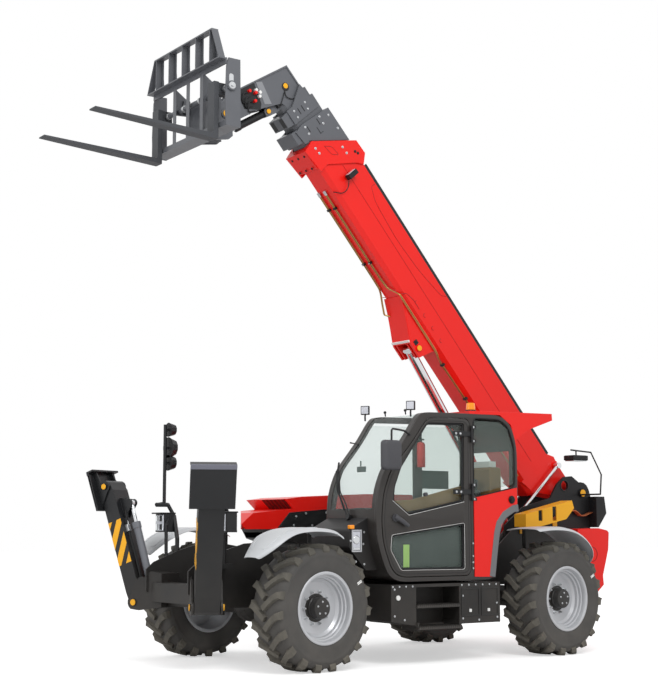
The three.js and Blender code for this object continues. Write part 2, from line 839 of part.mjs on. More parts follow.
function enginePod() {
  const shell = cut(
    plate(POD_OUTLINE, POD_OUT, POD_IN),
    plate(inset(POD_OUTLINE, POD_WALL), POD_OUT + POD_WALL, POD_IN - POD_WALL),
    block(-890, 940, POD_OUT + POD_WALL, POD_IN - POD_WALL, 1200, 1300),
    block(-2000, 2000, -RAIL_OUT - FIT, 0, 400, 770 + FIT),
  );
  const { x, z } = HOOD_HINGE;
  const knuckles = HOOD_KNUCKLES.flatMap((y) =>
    [y - 40, y + 80 + PIN_FIT].flatMap((y0) => {
      const y1 = y0 + 40 - PIN_FIT;
      return [
        pin(x, z, y0, y1, 12),
        block(x - 12, -895, y0, y1, z - 40, z - 12),
        block(x - 12, -902, y0, y1, z - 20, z),
      ];
    }),
  );
  return join(
    shell,
    block(-640, 640, -RAIL_OUT - POD_WALL - FIT, -RAIL_OUT - FIT, 486, 780),
    block(-735, 735, -RAIL_OUT - POD_WALL - FIT, POD_IN, 770 + FIT, 790),
    ...knuckles,
  );
}

function engineBlock() {
  return block(-560, 440, -1000, -480, 492 + FIT, 1230);
}

const HOOD_PLAN = [[-900, POD_IN - 5], [-900, POD_OUT + 5], [975, POD_OUT + 5], [1440, POD_IN - 5]];
const HOOD_SIDE = [
  [-900, 1290 + FIT],
  [1390, 1290 + FIT],
  [1440, 1339],
  [1300, 1453],
  [800, 1500],
  [905, 1600],
  [700, 1625],
  [-135, 1665],
  [-760, 1665],
  [-900, 1560],
];

function engineHood() {
  const wrap = common(plate(HOOD_SIDE, POD_OUT, POD_IN), slab(HOOD_PLAN, 1200, 1700));
  const plan = inset(HOOD_PLAN, 14);
  const core = common(plate(inset(HOOD_SIDE, 14), POD_OUT, POD_IN), slab(plan, 1200, 1700));
  const mouth = common(slab(plan, 1200, 1320), block(-2000, 1400, -2000, 0, 1200, 1320));
  const { x, z } = HOOD_HINGE;
  const knuckles = HOOD_KNUCKLES.flatMap((y) => [
    pin(x, z, y, y + 80, 12),
    block(x, -895, y, y + 80, z - 9, z + 12),
  ]);
  return join(cut(wrap, core, mouth), ...knuckles);
}

// ---- lamps and mirrors ------------------------------------------------------------------------

function lampGuard(side) {
  const at = (x, y, z) => [x, side * y, z];
  const pieces = [
    tube(
      [
        at(2120, 450, 960),
        at(2120, 450, 1200),
        at(2120, 520, 1420),
        at(2180, 540, 1530),
        at(2290, 590, 1530),
      ],
      21,
    ),
    tube([at(2230, 470, 1010), at(2230, 480, 1330), at(2150, 525, 1440)], 17),
    block(2080, 2250, ...span(side, RAIL_OUT + FIT, 545), 930, 975),
    block(2120, 2240, ...span(side, 505, 680), 1262, 1282),
    block(2130, 2240, ...span(side, 505, 678), 1268, 1440),
  ];
  if (side < 0) {
    pieces.push(
      tube([at(2290, 590, 1530), at(2190, 600, 1545), at(2190, 600, 2330)], 17),
      ...[[2280, 70], [2100, 105], [1950, 80]].flatMap(([z, r]) => [
        rod([2150, -600, z], [2085, -600, z], r, 10, r * 0.75),
        rod([2190, -600, z], [2140, -600, z], 10, 8),
      ]),
    );
  }
  return join(...pieces);
}

const MIRROR_ARM = [-2080, 790, 2150];

/** The mirror over the left rear wheel, on a stalk from the tower. */
function rearMirror() {
  const foot = [-2700, TOWER_IN + 10, 1680];
  return [
    tube([foot, [-2700, 620, 1680], [-2700, 640, 1900], [-2480, 700, 2140], MIRROR_ARM], 9),
    rod([-2180, 768, 2150], [-2180, 768, 2085], 8, 8),
    block(-2290, -2070, 690, 840, 2040, 2090),
  ];
}

// ---- boom -------------------------------------------------------------------------------------

const LIFT_EYE_W = 160;
const LIFT_EAR_T = 18;
const COMP_EYE_W = 64;

/** The closed box outline of a boom section, inset by a distance, with its lower corners bent. */
function sectionOutline(distance) {
  const half = BOOM_HALF - distance;
  const [top, bottom] = [BOOM_TOP - distance, BOOM_BOTTOM + distance];
  const bend = 42;
  return [
    [-half, top],
    [-half, bottom + bend],
    [-half + bend, bottom],
    [half - bend, bottom],
    [half, bottom + bend],
    [half, top],
  ];
}

const hollow = (distance, wall, s0, s1) =>
  cut(beam(sectionOutline(distance), s0, s1), beam(sectionOutline(distance + wall), s0 - 5, s1 + 5));

/** The wear pads round a section's rear end, which slide inside the section around it. */
function wearPads(distance, s0) {
  const outer = sectionOutline(distance - SECTION_STEP + PIN_FIT);
  return cut(beam(outer, s0, s0 + 70), beam(sectionOutline(distance + 1), s0 - 5, s0 + 75));
}

/** A collar round a section's front end: its side plates, closed over the top and below. */
function collar(points, distance, thickness) {
  const grip = BOOM_HALF - distance + thickness;
  return cut(plate(points, -grip, grip), beam(sectionOutline(distance + 1), 3000, 7000));
}

const MOUTH = [[4829, 34], [5125, -467], [5084, -608]]; // the outer section's slanted front edge

function boomOuter() {
  const tail = [
    [620, BOOM_TOP],
    [520, 30],
    ...arc(COMP_EYE.s, COMP_EYE.t, 62, 60, 130, 3),
    [230, 20],
    ...arc(0, 0, 105, 90, 270, 8),
    [430, BOOM_BOTTOM + 60],
    [620, BOOM_BOTTOM],
  ];
  const cheeks = [1, -1].map((side) => plate(tail, ...span(side, BOOM_HALF - 30, BOOM_HALF)));
  const compEar = pin(COMP_EYE.s, COMP_EYE.t, BOOM_HALF - 10, COMP_Y - COMP_EYE_W / 2 - PIN_FIT, 40);
  const edge = BOOM_BOTTOM + 5;
  const lug = [[2480, edge], [2560, -792], [2740, -792], [3050, -620], [3210, edge]];
  const ear = LIFT_EYE_W / 2 + PIN_FIT;
  const lugs = [1, -1].flatMap((side) => [
    plate(lug, ...span(side, BOOM_HALF - 30, BOOM_HALF - 5)),
    plate(lug, ...span(side, ear, ear + LIFT_EAR_T)),
    pin(LIFT_EYE.s, LIFT_EYE.t, ...span(side, ear + 5, BOOM_HALF + 12), 34),
  ]);
  const lugFace = [
    [3180, edge],
    [3050, -590],
    [2880, -680],
    [2900, -695],
    [3050, -612],
    [3205, edge],
  ];
  const nose = [
    [4817, -574],
    [4831, -455],
    [4640, -116],
    [4581, -50],
    [4662, 43],
    ...MOUTH,
  ];
  const behind = [[4000, -900], [5300, -900], [4900, -120], [4000, -120]];
  const ahead = [[4829, 200], ...MOUTH, [5084, -900], [6000, -900], [6000, 200]];
  return join(
    cut(hollow(0, BOOM_WALL, 420, 5140), plate(ahead, -300, 300)),
    ...cheeks,
    block(420, 440, -BOOM_HALF + 5, BOOM_HALF - 5, -470, BOOM_TOP - 5),
    pin(0, 0, PIN_FIT - TOWER_IN, TOWER_IN - PIN_FIT, 62),
    compEar,
    ...lugs,
    plate(lugFace, 5 - BOOM_HALF, BOOM_HALF - 5),
    cut(collar(nose, 0, 22), plate(behind, -BOOM_HALF - 1, BOOM_HALF + 1)),
    collar([[4840, -540], [5105, -540], [5084, -608], [4860, -590]], 0, 8),
  );
}

const SECOND = BOOM_WALL + SECTION_STEP;
const THIRD = SECOND + SECTION_WALL + SECTION_STEP;
const FOURTH = THIRD + SECTION_WALL + SECTION_STEP;

function boomSecond() {
  const points = [[5136, -536], [5120, -445], [4872, -20], [5286, -30], [5318, -433], [5293, -560]].reverse();
  return join(
    hollow(SECOND, SECTION_WALL, 700, 5280),
    wearPads(SECOND, 700),
    clipped(collar(points, SECOND, 18)),
    collar([[5150, -500], [5170, -610], [5310, -610], [5300, -500]].reverse(), SECOND, 2),
  );
}

/** The part of a collar ahead of the outer section's slanted mouth. */
function clipped(shape) {
  const edge = MOUTH.map(([s, t]) => [s + 2 * RUN, t]);
  const behind = [[4000, 200], [edge[0][0], 200], ...edge, [edge[2][0], -900], [4000, -900]].reverse();
  return cut(shape, plate(behind, -400, 400));
}

function boomThird() {
  const points = [[5520, -494], [5522, -401], [5658, -167], [5505, -140], [5355, -110], [5355, -494]];
  return join(
    hollow(THIRD, SECTION_WALL, 800, 5500),
    wearPads(THIRD, 800),
    collar(points, THIRD, 16),
    collar([[5360, -470], [5370, -585], [5500, -585], [5510, -470]].reverse(), THIRD, 2),
  );
}

function boomNose() {
  const half = BOOM_HALF - FOURTH;
  const head = [
    [5560, -152],
    [5892, -159],
    [6000, -849],
    [5990, -1120],
    ...arc(NOSE_PIVOT.s, NOSE_PIVOT.t, 105, 10, -165, 7),
    [5745, -1000],
    [5700, -735],
    [5610, -470],
    [5560, -440],
  ].reverse();
  const cheeks = [1, -1].map((side) => plate(head, ...span(side, half - 14, half)));
  const top = [[5560, -167], [5876, -174], [5985, -849], [6000, -849], [5892, -159], [5560, -152]];
  const ear = [[5570, -440], [5710, -640], ...arc(TILT_FOOT.s, TILT_FOOT.t, 46, 0, -180, 5), [5560, -560]];
  return join(
    hollow(FOURTH, SECTION_WALL, 900, 5600),
    wearPads(FOURTH, 900),
    ...cheeks,
    plate(top, -half - 10, half + 10),
    ...[1, -1].map((side) => pin(NOSE_PIVOT.s, NOSE_PIVOT.t, ...span(side, half - 40, half + 1), 60)),
    ...ears(ear, 0, TILT_EYE_W + 2 * PIN_FIT, 14),
  );
}

// ---- cylinders --------------------------------------------------------------------------------

const TILT_EYE_W = 90;

const BORE_SIDES = 14;

/** A barrel along +X from its eye at the origin, bored for its rod. */
function barrel(length, radius, bore, eyeRadius, eyeWidth) {
  return cut(
    join(
      rod([eyeRadius * 0.6, 0, 0], [length, 0, 0], radius, BORE_SIDES),
      rod([length - 60, 0, 0], [length, 0, 0], radius + 6, BORE_SIDES),
      pin(0, 0, -eyeWidth / 2, eyeWidth / 2, eyeRadius),
    ),
    rod([eyeRadius * 2, 0, 0], [length + 10, 0, 0], bore, BORE_SIDES),
  );
}

/** A rod along +X that ends in its eye; x runs from the barrel's eye. */
function pistonRod(start, end, radius, eyeRadius, eyeWidth) {
  return join(
    rod([start, 0, 0], [end - eyeRadius * 0.5, 0, 0], radius, BORE_SIDES),
    pin(end, 0, -eyeWidth / 2, eyeWidth / 2, eyeRadius),
  );
}

/** A cylinder between two pins in one plane: its barrel and rod, turned to point from one to the other. */
function cylinder(name, foot, eye, y, sizes) {
  const length = Math.hypot(eye.x - foot.x, eye.z - foot.z);
  const { barrelLength, radius, rodRadius, eyeRadius, eyeWidth, rodEye = eyeRadius, hidden } = sizes;
  const ram = groupAt(
    foot.x,
    y,
    foot.z,
    part(`${name}_barrel`, barrel(barrelLength, radius, rodRadius + PIN_FIT, eyeRadius, eyeWidth), "black"),
    part(`${name}_rod`, pistonRod(barrelLength - hidden, length, rodRadius, rodEye, eyeWidth), "chrome"),
  );
  ram.rotation.y = -Math.atan2(eye.z - foot.z, eye.x - foot.x);
  return ram;
}

/** A point of the boom's own frame, in the vehicle's. */
function boomPoint({ s, t }) {
  const [c, n] = [Math.cos(BOOM_ANGLE), Math.sin(BOOM_ANGLE)];
  return { x: BOOM_PIVOT.x + s * c - t * n, z: BOOM_PIVOT.z + s * n + t * c };
}

// ---- carriage ---------------------------------------------------------------------------------

const SHAFT = { x: 300, z: 70, r: 25 }; // fork shaft, from the carriage pivot
const FRAME_HALF = 720;

/** The quick hitch on the boom's nose, from the carriage pivot. */
function quickHitch() {
  const inner = BOOM_HALF - FOURTH + RUN;
  const cheek = [
    ...arc(0, 0, 100, 80, 215, 6),
    [TILT_EYE.x - 75, TILT_EYE.z - 20],
    [TILT_EYE.x - 30, TILT_EYE.z - 60],
    [190, -290],
    [190, 150],
    [60, 150],
  ];
  const eyePlate = [
    [TILT_EYE.x - 45, TILT_EYE.z - 45],
    [190, -285],
    [190, -160],
    [150, -150],
    [TILT_EYE.x - 30, TILT_EYE.z + 40],
  ];
  const hook = [[185, 60], [185, 190], [260, 190], [SHAFT.x - 40, 150], [SHAFT.x - 50, 60]];
  return join(
    plate(cheek, inner, inner + 22),
    plate(cheek, -inner - 22, -inner),
    block(165, 190, -330, 330, -285, 150),
    pin(0, 0, inner + 20, inner + 38, 48),
    pin(0, 0, -inner - 38, -inner - 20, 48),
    pin(0, 0, inner - RUN + PIN_FIT + 1, inner + 5, 60),
    pin(0, 0, -inner - 5, -inner + RUN - PIN_FIT - 1, 60),
    ...ears(eyePlate, 0, TILT_EYE_W + 2 * PIN_FIT, 14),
    ...[250, -270].map((y) => plate(hook, y, y + 20)),
  );
}

function forkFrame() {
  const face = 190 + FIT;
  const { x, z, r } = SHAFT;
  const sidePlate = [
    [face, -320],
    [x + 50, -320],
    [x + 60, -100],
    [x + 50, 260],
    [x + 30, 345],
    [face + 10, 345],
  ];
  const rib = [
    [face, 40],
    [face, 195],
    [x + 45, 300],
    [x + 56, 300],
    [x + 56, -310],
    [x + 30, -310],
    [x + 30, 30],
  ];
  const guardTop = 664;
  const slope = (y0, y1) =>
    beam([[y0 - 6, 330], [y0 + 6, 330], [y1 + 6, guardTop], [y1 - 6, guardTop]], x + 60, x + 130);
  return join(
    plate(sidePlate, FRAME_HALF, FRAME_HALF + 18),
    plate(sidePlate, -FRAME_HALF - 18, -FRAME_HALF),
    pin(x, z, -FRAME_HALF - 22, FRAME_HALF + 22, r),
    pin(x, z, FRAME_HALF + 16, FRAME_HALF + 40, 48),
    pin(x, z, -FRAME_HALF - 40, -FRAME_HALF - 16, 48),
    block(x + 40, x + 56, -FRAME_HALF - 5, FRAME_HALF + 5, 285, 345),
    block(x - 20, x + 56, -FRAME_HALF - 5, FRAME_HALF + 5, -318, -268),
    block(face, x - 10, -FRAME_HALF - 5, FRAME_HALF + 5, -318, -300),
    ...[-300, 280].map((y) => plate(rib, y, y + 20)),
    slope(-FRAME_HALF, -574),
    slope(FRAME_HALF, 574),
    block(x + 56, x + 130, -580, 580, guardTop - 14, guardTop),
    block(x + 50, x + 130, -FRAME_HALF - 5, FRAME_HALF + 5, 330, 342),
    ...[-540, -270, 0, 270, 540].map((y) => block(x + 56, x + 62, y - 35, y + 35, 330, guardTop - 5)),
    ...[-270, 0, 270].map((y) => block(x + 50, x + 56, y - 30, y + 30, -300, 300)),
  );
}

/** An L-shaped fork hung on the shaft. */
function fork(y) {
  const { x, z, r } = SHAFT;
  const heel = -430;
  const half = 62;
  const front = x + 118;
  const tip = front + 1230;
  const back = x + 66;
  const blade = [
    [back, heel - 2],
    [tip, heel + 80],
    [tip, heel + 92],
    [front + 16, heel + 50 + (42 * 16) / (tip - front)],
    [front, heel + 66],
    [back, heel + 66],
  ];
  return cut(
    join(
      block(x + 66, front, y - half, y + half, heel, z + 60),
      block(x - 55, front, y - half + 20, y + half - 20, z - 55, z + 60),
      plate(blade, y - half, y + half),
    ),
    pin(x, z, y - 100, y + 100, r + FIT),
  );
}

// ---- stabilisers ------------------------------------------------------------------------------

function stabiliserLeg() {
  const half = LEG_WIDTH / 2;
  const [inner, outer] = [-LEG_DEPTH / 2, LEG_DEPTH / 2];
  const side = [
    ...arc(0, 0, 70, 200, 340, 5),
    [outer, 120],
    [outer, LEG_LENGTH - 60],
    ...arc(0, LEG_LENGTH, 62, 0, 180, 6),
    [inner, LEG_LENGTH - 60],
    [inner, 120],
  ];
  const ear = [
    [inner + 5, LEG_EYE.k - 130],
    [inner + 5, LEG_EYE.k + 90],
    ...arc(LEG_EYE.n, LEG_EYE.k, 40, 90, 250, 5),
  ];
  const gap = LEG_EYE_W / 2 + PIN_FIT;
  return join(
    beam(side, -half, half),
    rod([half - 5, 0, 0], [LEG_EAR - PIN_FIT, 0, 0], 45),
    rod([-half + 5, 0, 0], [-LEG_EAR + PIN_FIT, 0, 0], 45),
    beam(ear, gap, gap + 14),
    beam(ear, -gap - 14, -gap),
  );
}

const LEG_EYE_W = 60;
const FOOT_HALF = 205;

/** The foot: a pad that faces outward while the leg is up, and its cheeks; its pin is the origin. */
function stabiliserFoot() {
  const inner = LEG_WIDTH / 2 + PIN_FIT;
  const cheek = [[100, -190], [115, -190], [115, 190], [60, 190], ...arc(0, 0, 62, 60, 250, 6)];
  return join(
    beam(cheek, inner, inner + 16),
    beam(cheek, -inner - 16, -inner),
    block(-FOOT_HALF, FOOT_HALF, 95, 118, -215, 190),
    block(-FOOT_HALF, FOOT_HALF, 40, 118, 178, 196),
    rod([inner + 14, 0, 0], [inner + 30, 0, 0], 32),
    rod([-inner - 30, 0, 0], [-inner - 14, 0, 0], 32),
  );
}

function stabiliser(name, side) {
  const sided = (geometry) => (side > 0 ? geometry : mirrorY(geometry));
  const leg = new THREE.Group();
  leg.add(part(`leg_${name}`, sided(stabiliserLeg()), "black"));
  leg.add(groupAt(0, 0, LEG_LENGTH, part(`foot_${name}`, sided(stabiliserFoot()), "black")));
  leg.rotation.x = -side * LEG_LEAN;
  const eye = legEye();
  const reach = { d: eye.d - LEG_FOOT.d, z: eye.z - LEG_FOOT.z };
  const length = Math.hypot(reach.d, reach.z);
  const ram = groupAt(
    0,
    side * LEG_FOOT.d,
    LEG_FOOT.z,
    part(`leg_barrel_${name}`, upright(barrel(600, 38, 20 + PIN_FIT, 34, LEG_EYE_W)), "black"),
    part(`leg_rod_${name}`, upright(pistonRod(260, length, 20, 30, LEG_EYE_W)), "chrome"),
  );
  ram.rotation.x = -side * Math.atan2(reach.d, reach.z);
  const set = groupAt(LEG_PIVOT.x, side * LEG_PIVOT.y, LEG_PIVOT.z, leg, ram);
  set.rotation.z = -side * LEG_SPLAY;
  return set;
}

/** A cylinder made along X with its pins along Y, stood up along Z with its pins along X. */
const upright = (geometry) => geometry.rotateY(-Math.PI / 2).rotateZ(Math.PI / 2);

/** The rod eye on the leg, outward and up from the leg's pivot. */
function legEye() {
  const [c, n] = [Math.cos(LEG_LEAN), Math.sin(LEG_LEAN)];
  return { d: LEG_EYE.k * n + LEG_EYE.n * c, z: LEG_EYE.k * c - LEG_EYE.n * n };
}

// ---- the whole machine ------------------------------------------------------------------------

const vehicle = new THREE.Group();

vehicle.add(
  part("frame", frame(), "black"),
  part("front_axle", axle(WHEELBASE / 2), "black"),
  part("rear_axle", axle(-WHEELBASE / 2), "black"),
  part("counterweight", counterweight(), "red"),
  part("rear_guard", rearGuard(), "yellow"),
  part("cab_frame", cabFrame(), "black"),
  part("windscreen", windscreen(), "glass"),
  part("right_window", sidePane(RIGHT_PANE, CAB_RIGHT + 14), "glass"),
  part("quarter_window", sidePane(QUARTER, CAB_LEFT - 20), "glass"),
  part("rear_window", rearWindow(), "glass"),
  part("cab_panel", cabPanel(), "red"),
  part("cab_roof", cabRoof(), "red"),
  part("cab_door", cabDoor(), "black"),
  part("door_glass", doorGlass(), "glass"),
  part("seat", seat(), "cloth"),
  part("dashboard", dashboard(), "black"),
  part("side_box", sideBox(), "black"),
  part("engine_pod", enginePod(), "black"),
  part("engine_block", engineBlock(), "grey"),
  part("engine_hood", engineHood(), "red"),
  part("lamp_guard_left", lampGuard(1), "black"),
  part("lamp_guard_right", lampGuard(-1), "black"),
);

vehicle.add(
  wheelStation("front_left", WHEELBASE / 2, 1),
  wheelStation("front_right", WHEELBASE / 2, -1),
  wheelStation("rear_left", -WHEELBASE / 2, 1),
  wheelStation("rear_right", -WHEELBASE / 2, -1),
);

const boom = groupAt(
  BOOM_PIVOT.x,
  0,
  BOOM_PIVOT.z,
  part("boom_outer", boomOuter(), "red"),
  part("boom_second", boomSecond(), "grey"),
  part("boom_third", boomThird(), "grey"),
  part("boom_nose", boomNose(), "grey"),
);
boom.rotation.y = -BOOM_ANGLE;
vehicle.add(boom);

const carriagePivot = boomPoint(NOSE_PIVOT);
const tiltFoot = boomPoint(TILT_FOOT);
const tiltEye = { x: carriagePivot.x + TILT_EYE.x, z: carriagePivot.z + TILT_EYE.z };
vehicle.add(
  groupAt(
    carriagePivot.x,
    0,
    carriagePivot.z,
    part("quick_hitch", quickHitch(), "grey"),
    part("fork_frame", forkFrame(), "grey"),
    part("fork_left", fork(560), "black"),
    part("fork_right", fork(-560), "black"),
  ),
  cylinder("lift", LIFT_FOOT, boomPoint(LIFT_EYE), 0, {
    barrelLength: 1390,
    radius: 76,
    rodRadius: 55,
    eyeRadius: 60,
    rodEye: 44,
    eyeWidth: LIFT_EYE_W,
    hidden: 130,
  }),
  cylinder("comp", COMP_FOOT, boomPoint(COMP_EYE), COMP_Y, {
    barrelLength: 760,
    radius: 28,
    rodRadius: 18,
    eyeRadius: 34,
    eyeWidth: COMP_EYE_W,
    hidden: 100,
  }),
  cylinder("tilt", tiltFoot, tiltEye, 0, {
    barrelLength: 428,
    radius: 40,
    rodRadius: 24,
    eyeRadius: 38,
    eyeWidth: TILT_EYE_W,
    hidden: 194,
  }),
  stabiliser("left", 1),
  stabiliser("right", -1),
);

// The origin is on the ground under the middle of the machine.
const bounds = new THREE.Box3().setFromObject(vehicle);
const middle = bounds.getCenter(new THREE.Vector3());
vehicle.position.set(-middle.x, -middle.y, -bounds.min.z);

// Where the joints are, in millimetres from the same origin.
const anchor = (x, y, z) => new THREE.Vector3(x, y, z).add(vehicle.position).toArray();
vehicle.userData.anchors = {
  boom: anchor(BOOM_PIVOT.x, 0, BOOM_PIVOT.z),
  carriage: anchor(carriagePivot.x, 0, carriagePivot.z),
  lift: anchor(LIFT_FOOT.x, 0, LIFT_FOOT.z),
  comp: anchor(COMP_FOOT.x, COMP_Y, COMP_FOOT.z),
  tilt: anchor(tiltFoot.x, 0, tiltFoot.z),
  door: anchor(DOOR_HINGE.x, DOOR_HINGE.y, 0),
  hood: anchor(HOOD_HINGE.x, 0, HOOD_HINGE.z),
};

export default vehicle;
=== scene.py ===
"""Looks for a telescopic handler parked with its boom raised.

Sizes are in millimetres in the machine's own frame: X forward, Y to the driver's left, Z up, with the
origin on the ground midway between the axles. Each shape turns them into metres in the model's frame.
"""

import logging
import math
from dataclasses import dataclass
from enum import Enum
from typing import Iterable, Sequence

import bmesh
import bpy
from mathutils import Matrix, Vector


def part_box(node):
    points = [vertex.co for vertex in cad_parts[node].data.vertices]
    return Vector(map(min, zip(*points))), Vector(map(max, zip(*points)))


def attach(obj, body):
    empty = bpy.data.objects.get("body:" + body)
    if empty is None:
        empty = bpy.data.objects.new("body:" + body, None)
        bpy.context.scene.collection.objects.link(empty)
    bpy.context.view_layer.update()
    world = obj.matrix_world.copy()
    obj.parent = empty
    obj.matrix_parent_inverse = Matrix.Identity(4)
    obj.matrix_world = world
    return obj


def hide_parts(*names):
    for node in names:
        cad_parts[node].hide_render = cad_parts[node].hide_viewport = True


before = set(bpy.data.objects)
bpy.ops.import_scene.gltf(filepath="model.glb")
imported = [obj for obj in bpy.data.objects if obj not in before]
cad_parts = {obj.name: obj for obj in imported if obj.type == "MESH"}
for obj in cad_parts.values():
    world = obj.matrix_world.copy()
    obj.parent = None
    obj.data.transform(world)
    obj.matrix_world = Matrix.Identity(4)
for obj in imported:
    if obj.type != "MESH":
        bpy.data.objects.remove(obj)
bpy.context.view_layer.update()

LOG = logging.getLogger("telehandler")

Point = Sequence[float]
Path = Sequence[Point]
Outline = Sequence[tuple[float, float]]
Colour = tuple[float, float, float]


# ---- frames of reference ------------------------------------------------------------------------

# The signs of Y for things that are on both sides alike, and directions that bolts face.
BOTH = (1, -1)
LEFTWARD = (0, 1, 0)
BACKWARD = (-1, 0, 0)
DOWNWARD = (0, 0, -1)
MACHINE_UNIT = 0.001


def machine_origin() -> Vector:
    """Return the machine's origin in the model's frame: midway between opposite wheels, on the ground."""
    corners = [*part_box("tyre_front_left"), *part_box("tyre_rear_right")]
    middle = sum((Vector(corner) for corner in corners), Vector()) / 4
    return Vector((middle.x, middle.y, 0))


BOOM_ANGLE = math.radians(49.2)
CRAB = math.radians(6.4)
SPLAY = math.radians(25.0)
LEAN = math.radians(19.5)
BOOM_PIVOT = (-2750, 0, 1700)
TILT_PIN = (5880, 0, -1150)
KINGPIN = (1530, 800, 575)
WHEEL_OUT = 203.5
LEG_PIN = (2400, 620, 587)
FOOT_PIN = 1190
MACHINE = Matrix.Translation(machine_origin()) @ Matrix.Scale(MACHINE_UNIT, 4)
BOOM = MACHINE @ Matrix.Translation(BOOM_PIVOT) @ Matrix.Rotation(-BOOM_ANGLE, 4, "Y")
CARRIAGE = BOOM @ Matrix.Translation(TILT_PIN) @ Matrix.Rotation(BOOM_ANGLE, 4, "Y")


class Side(Enum):
    """A side of the machine, as the sign of its Y."""

    LEFT = 1
    RIGHT = -1

    @property
    def word(self) -> str:
        """Return the side's name as node names spell it."""
        return self.name.lower()


class End(Enum):
    """An end of the machine, as the sign of its X."""

    FRONT = 1
    REAR = -1

    @property
    def word(self) -> str:
        """Return the end's name as node names spell it."""
        return self.name.lower()


def corner_frame(end: End, side: Side) -> Matrix:
    """Return a wheel station's frame at its kingpin, mirrored so that +Y points outward.

    Args:
        end: which axle.
        side: which side.

    Returns:
        The matrix from the station's millimetres to the model's metres.
    """
    x, y, z = KINGPIN
    place = Matrix.Translation((end.value * x, side.value * y, z))
    return MACHINE @ place @ Matrix.Rotation(CRAB, 4, "Z") @ Matrix.Diagonal((1, side.value, 1, 1))


def wheel_frame(end: End, side: Side) -> Matrix:
    """Return a wheel's frame at its centre, with +Y outward."""
    return corner_frame(end, side) @ Matrix.Translation((0, WHEEL_OUT, 0))


def leg_frame(side: Side) -> Matrix:
    """Return a stabiliser leg's frame: X along its pin, Y out from the leg and Z along it."""
    x, y, z = LEG_PIN
    place = Matrix.Translation((x, side.value * y, z))
    splay = Matrix.Rotation(-side.value * SPLAY, 4, "Z")
    return MACHINE @ place @ splay @ Matrix.Diagonal((1, side.value, 1, 1)) @ Matrix.Rotation(-LEAN, 4, "X")


# ---- finishes -----------------------------------------------------------------------------------


def linear(red: float, green: float, blue: float) -> Colour:
    """Return a colour in scene-linear values from screen values of 0 to 255."""

    def channel(value: float) -> float:
        """Return one channel's linear value."""
        share = value / 255
        return share / 12.92 if share <= 0.04045 else ((share + 0.055) / 1.055) ** 2.4

    return channel(red), channel(green), channel(blue)


def add_node(
    tree: bpy.types.NodeTree, kind: str, values: dict | None = None, **settings: str
) -> bpy.types.Node:
    """Return a new shader node.

    Args:
        tree: the material's nodes.
        kind: the node's type.
        values: what its sockets are set to, by name or number.
        settings: its own settings.

    Returns:
        The node.
    """
    made = tree.nodes.new(f"ShaderNode{kind}")
    for key, value in settings.items():
        setattr(made, key, value)
    for key, value in (values or {}).items():
        made.inputs[key].default_value = value
    return made


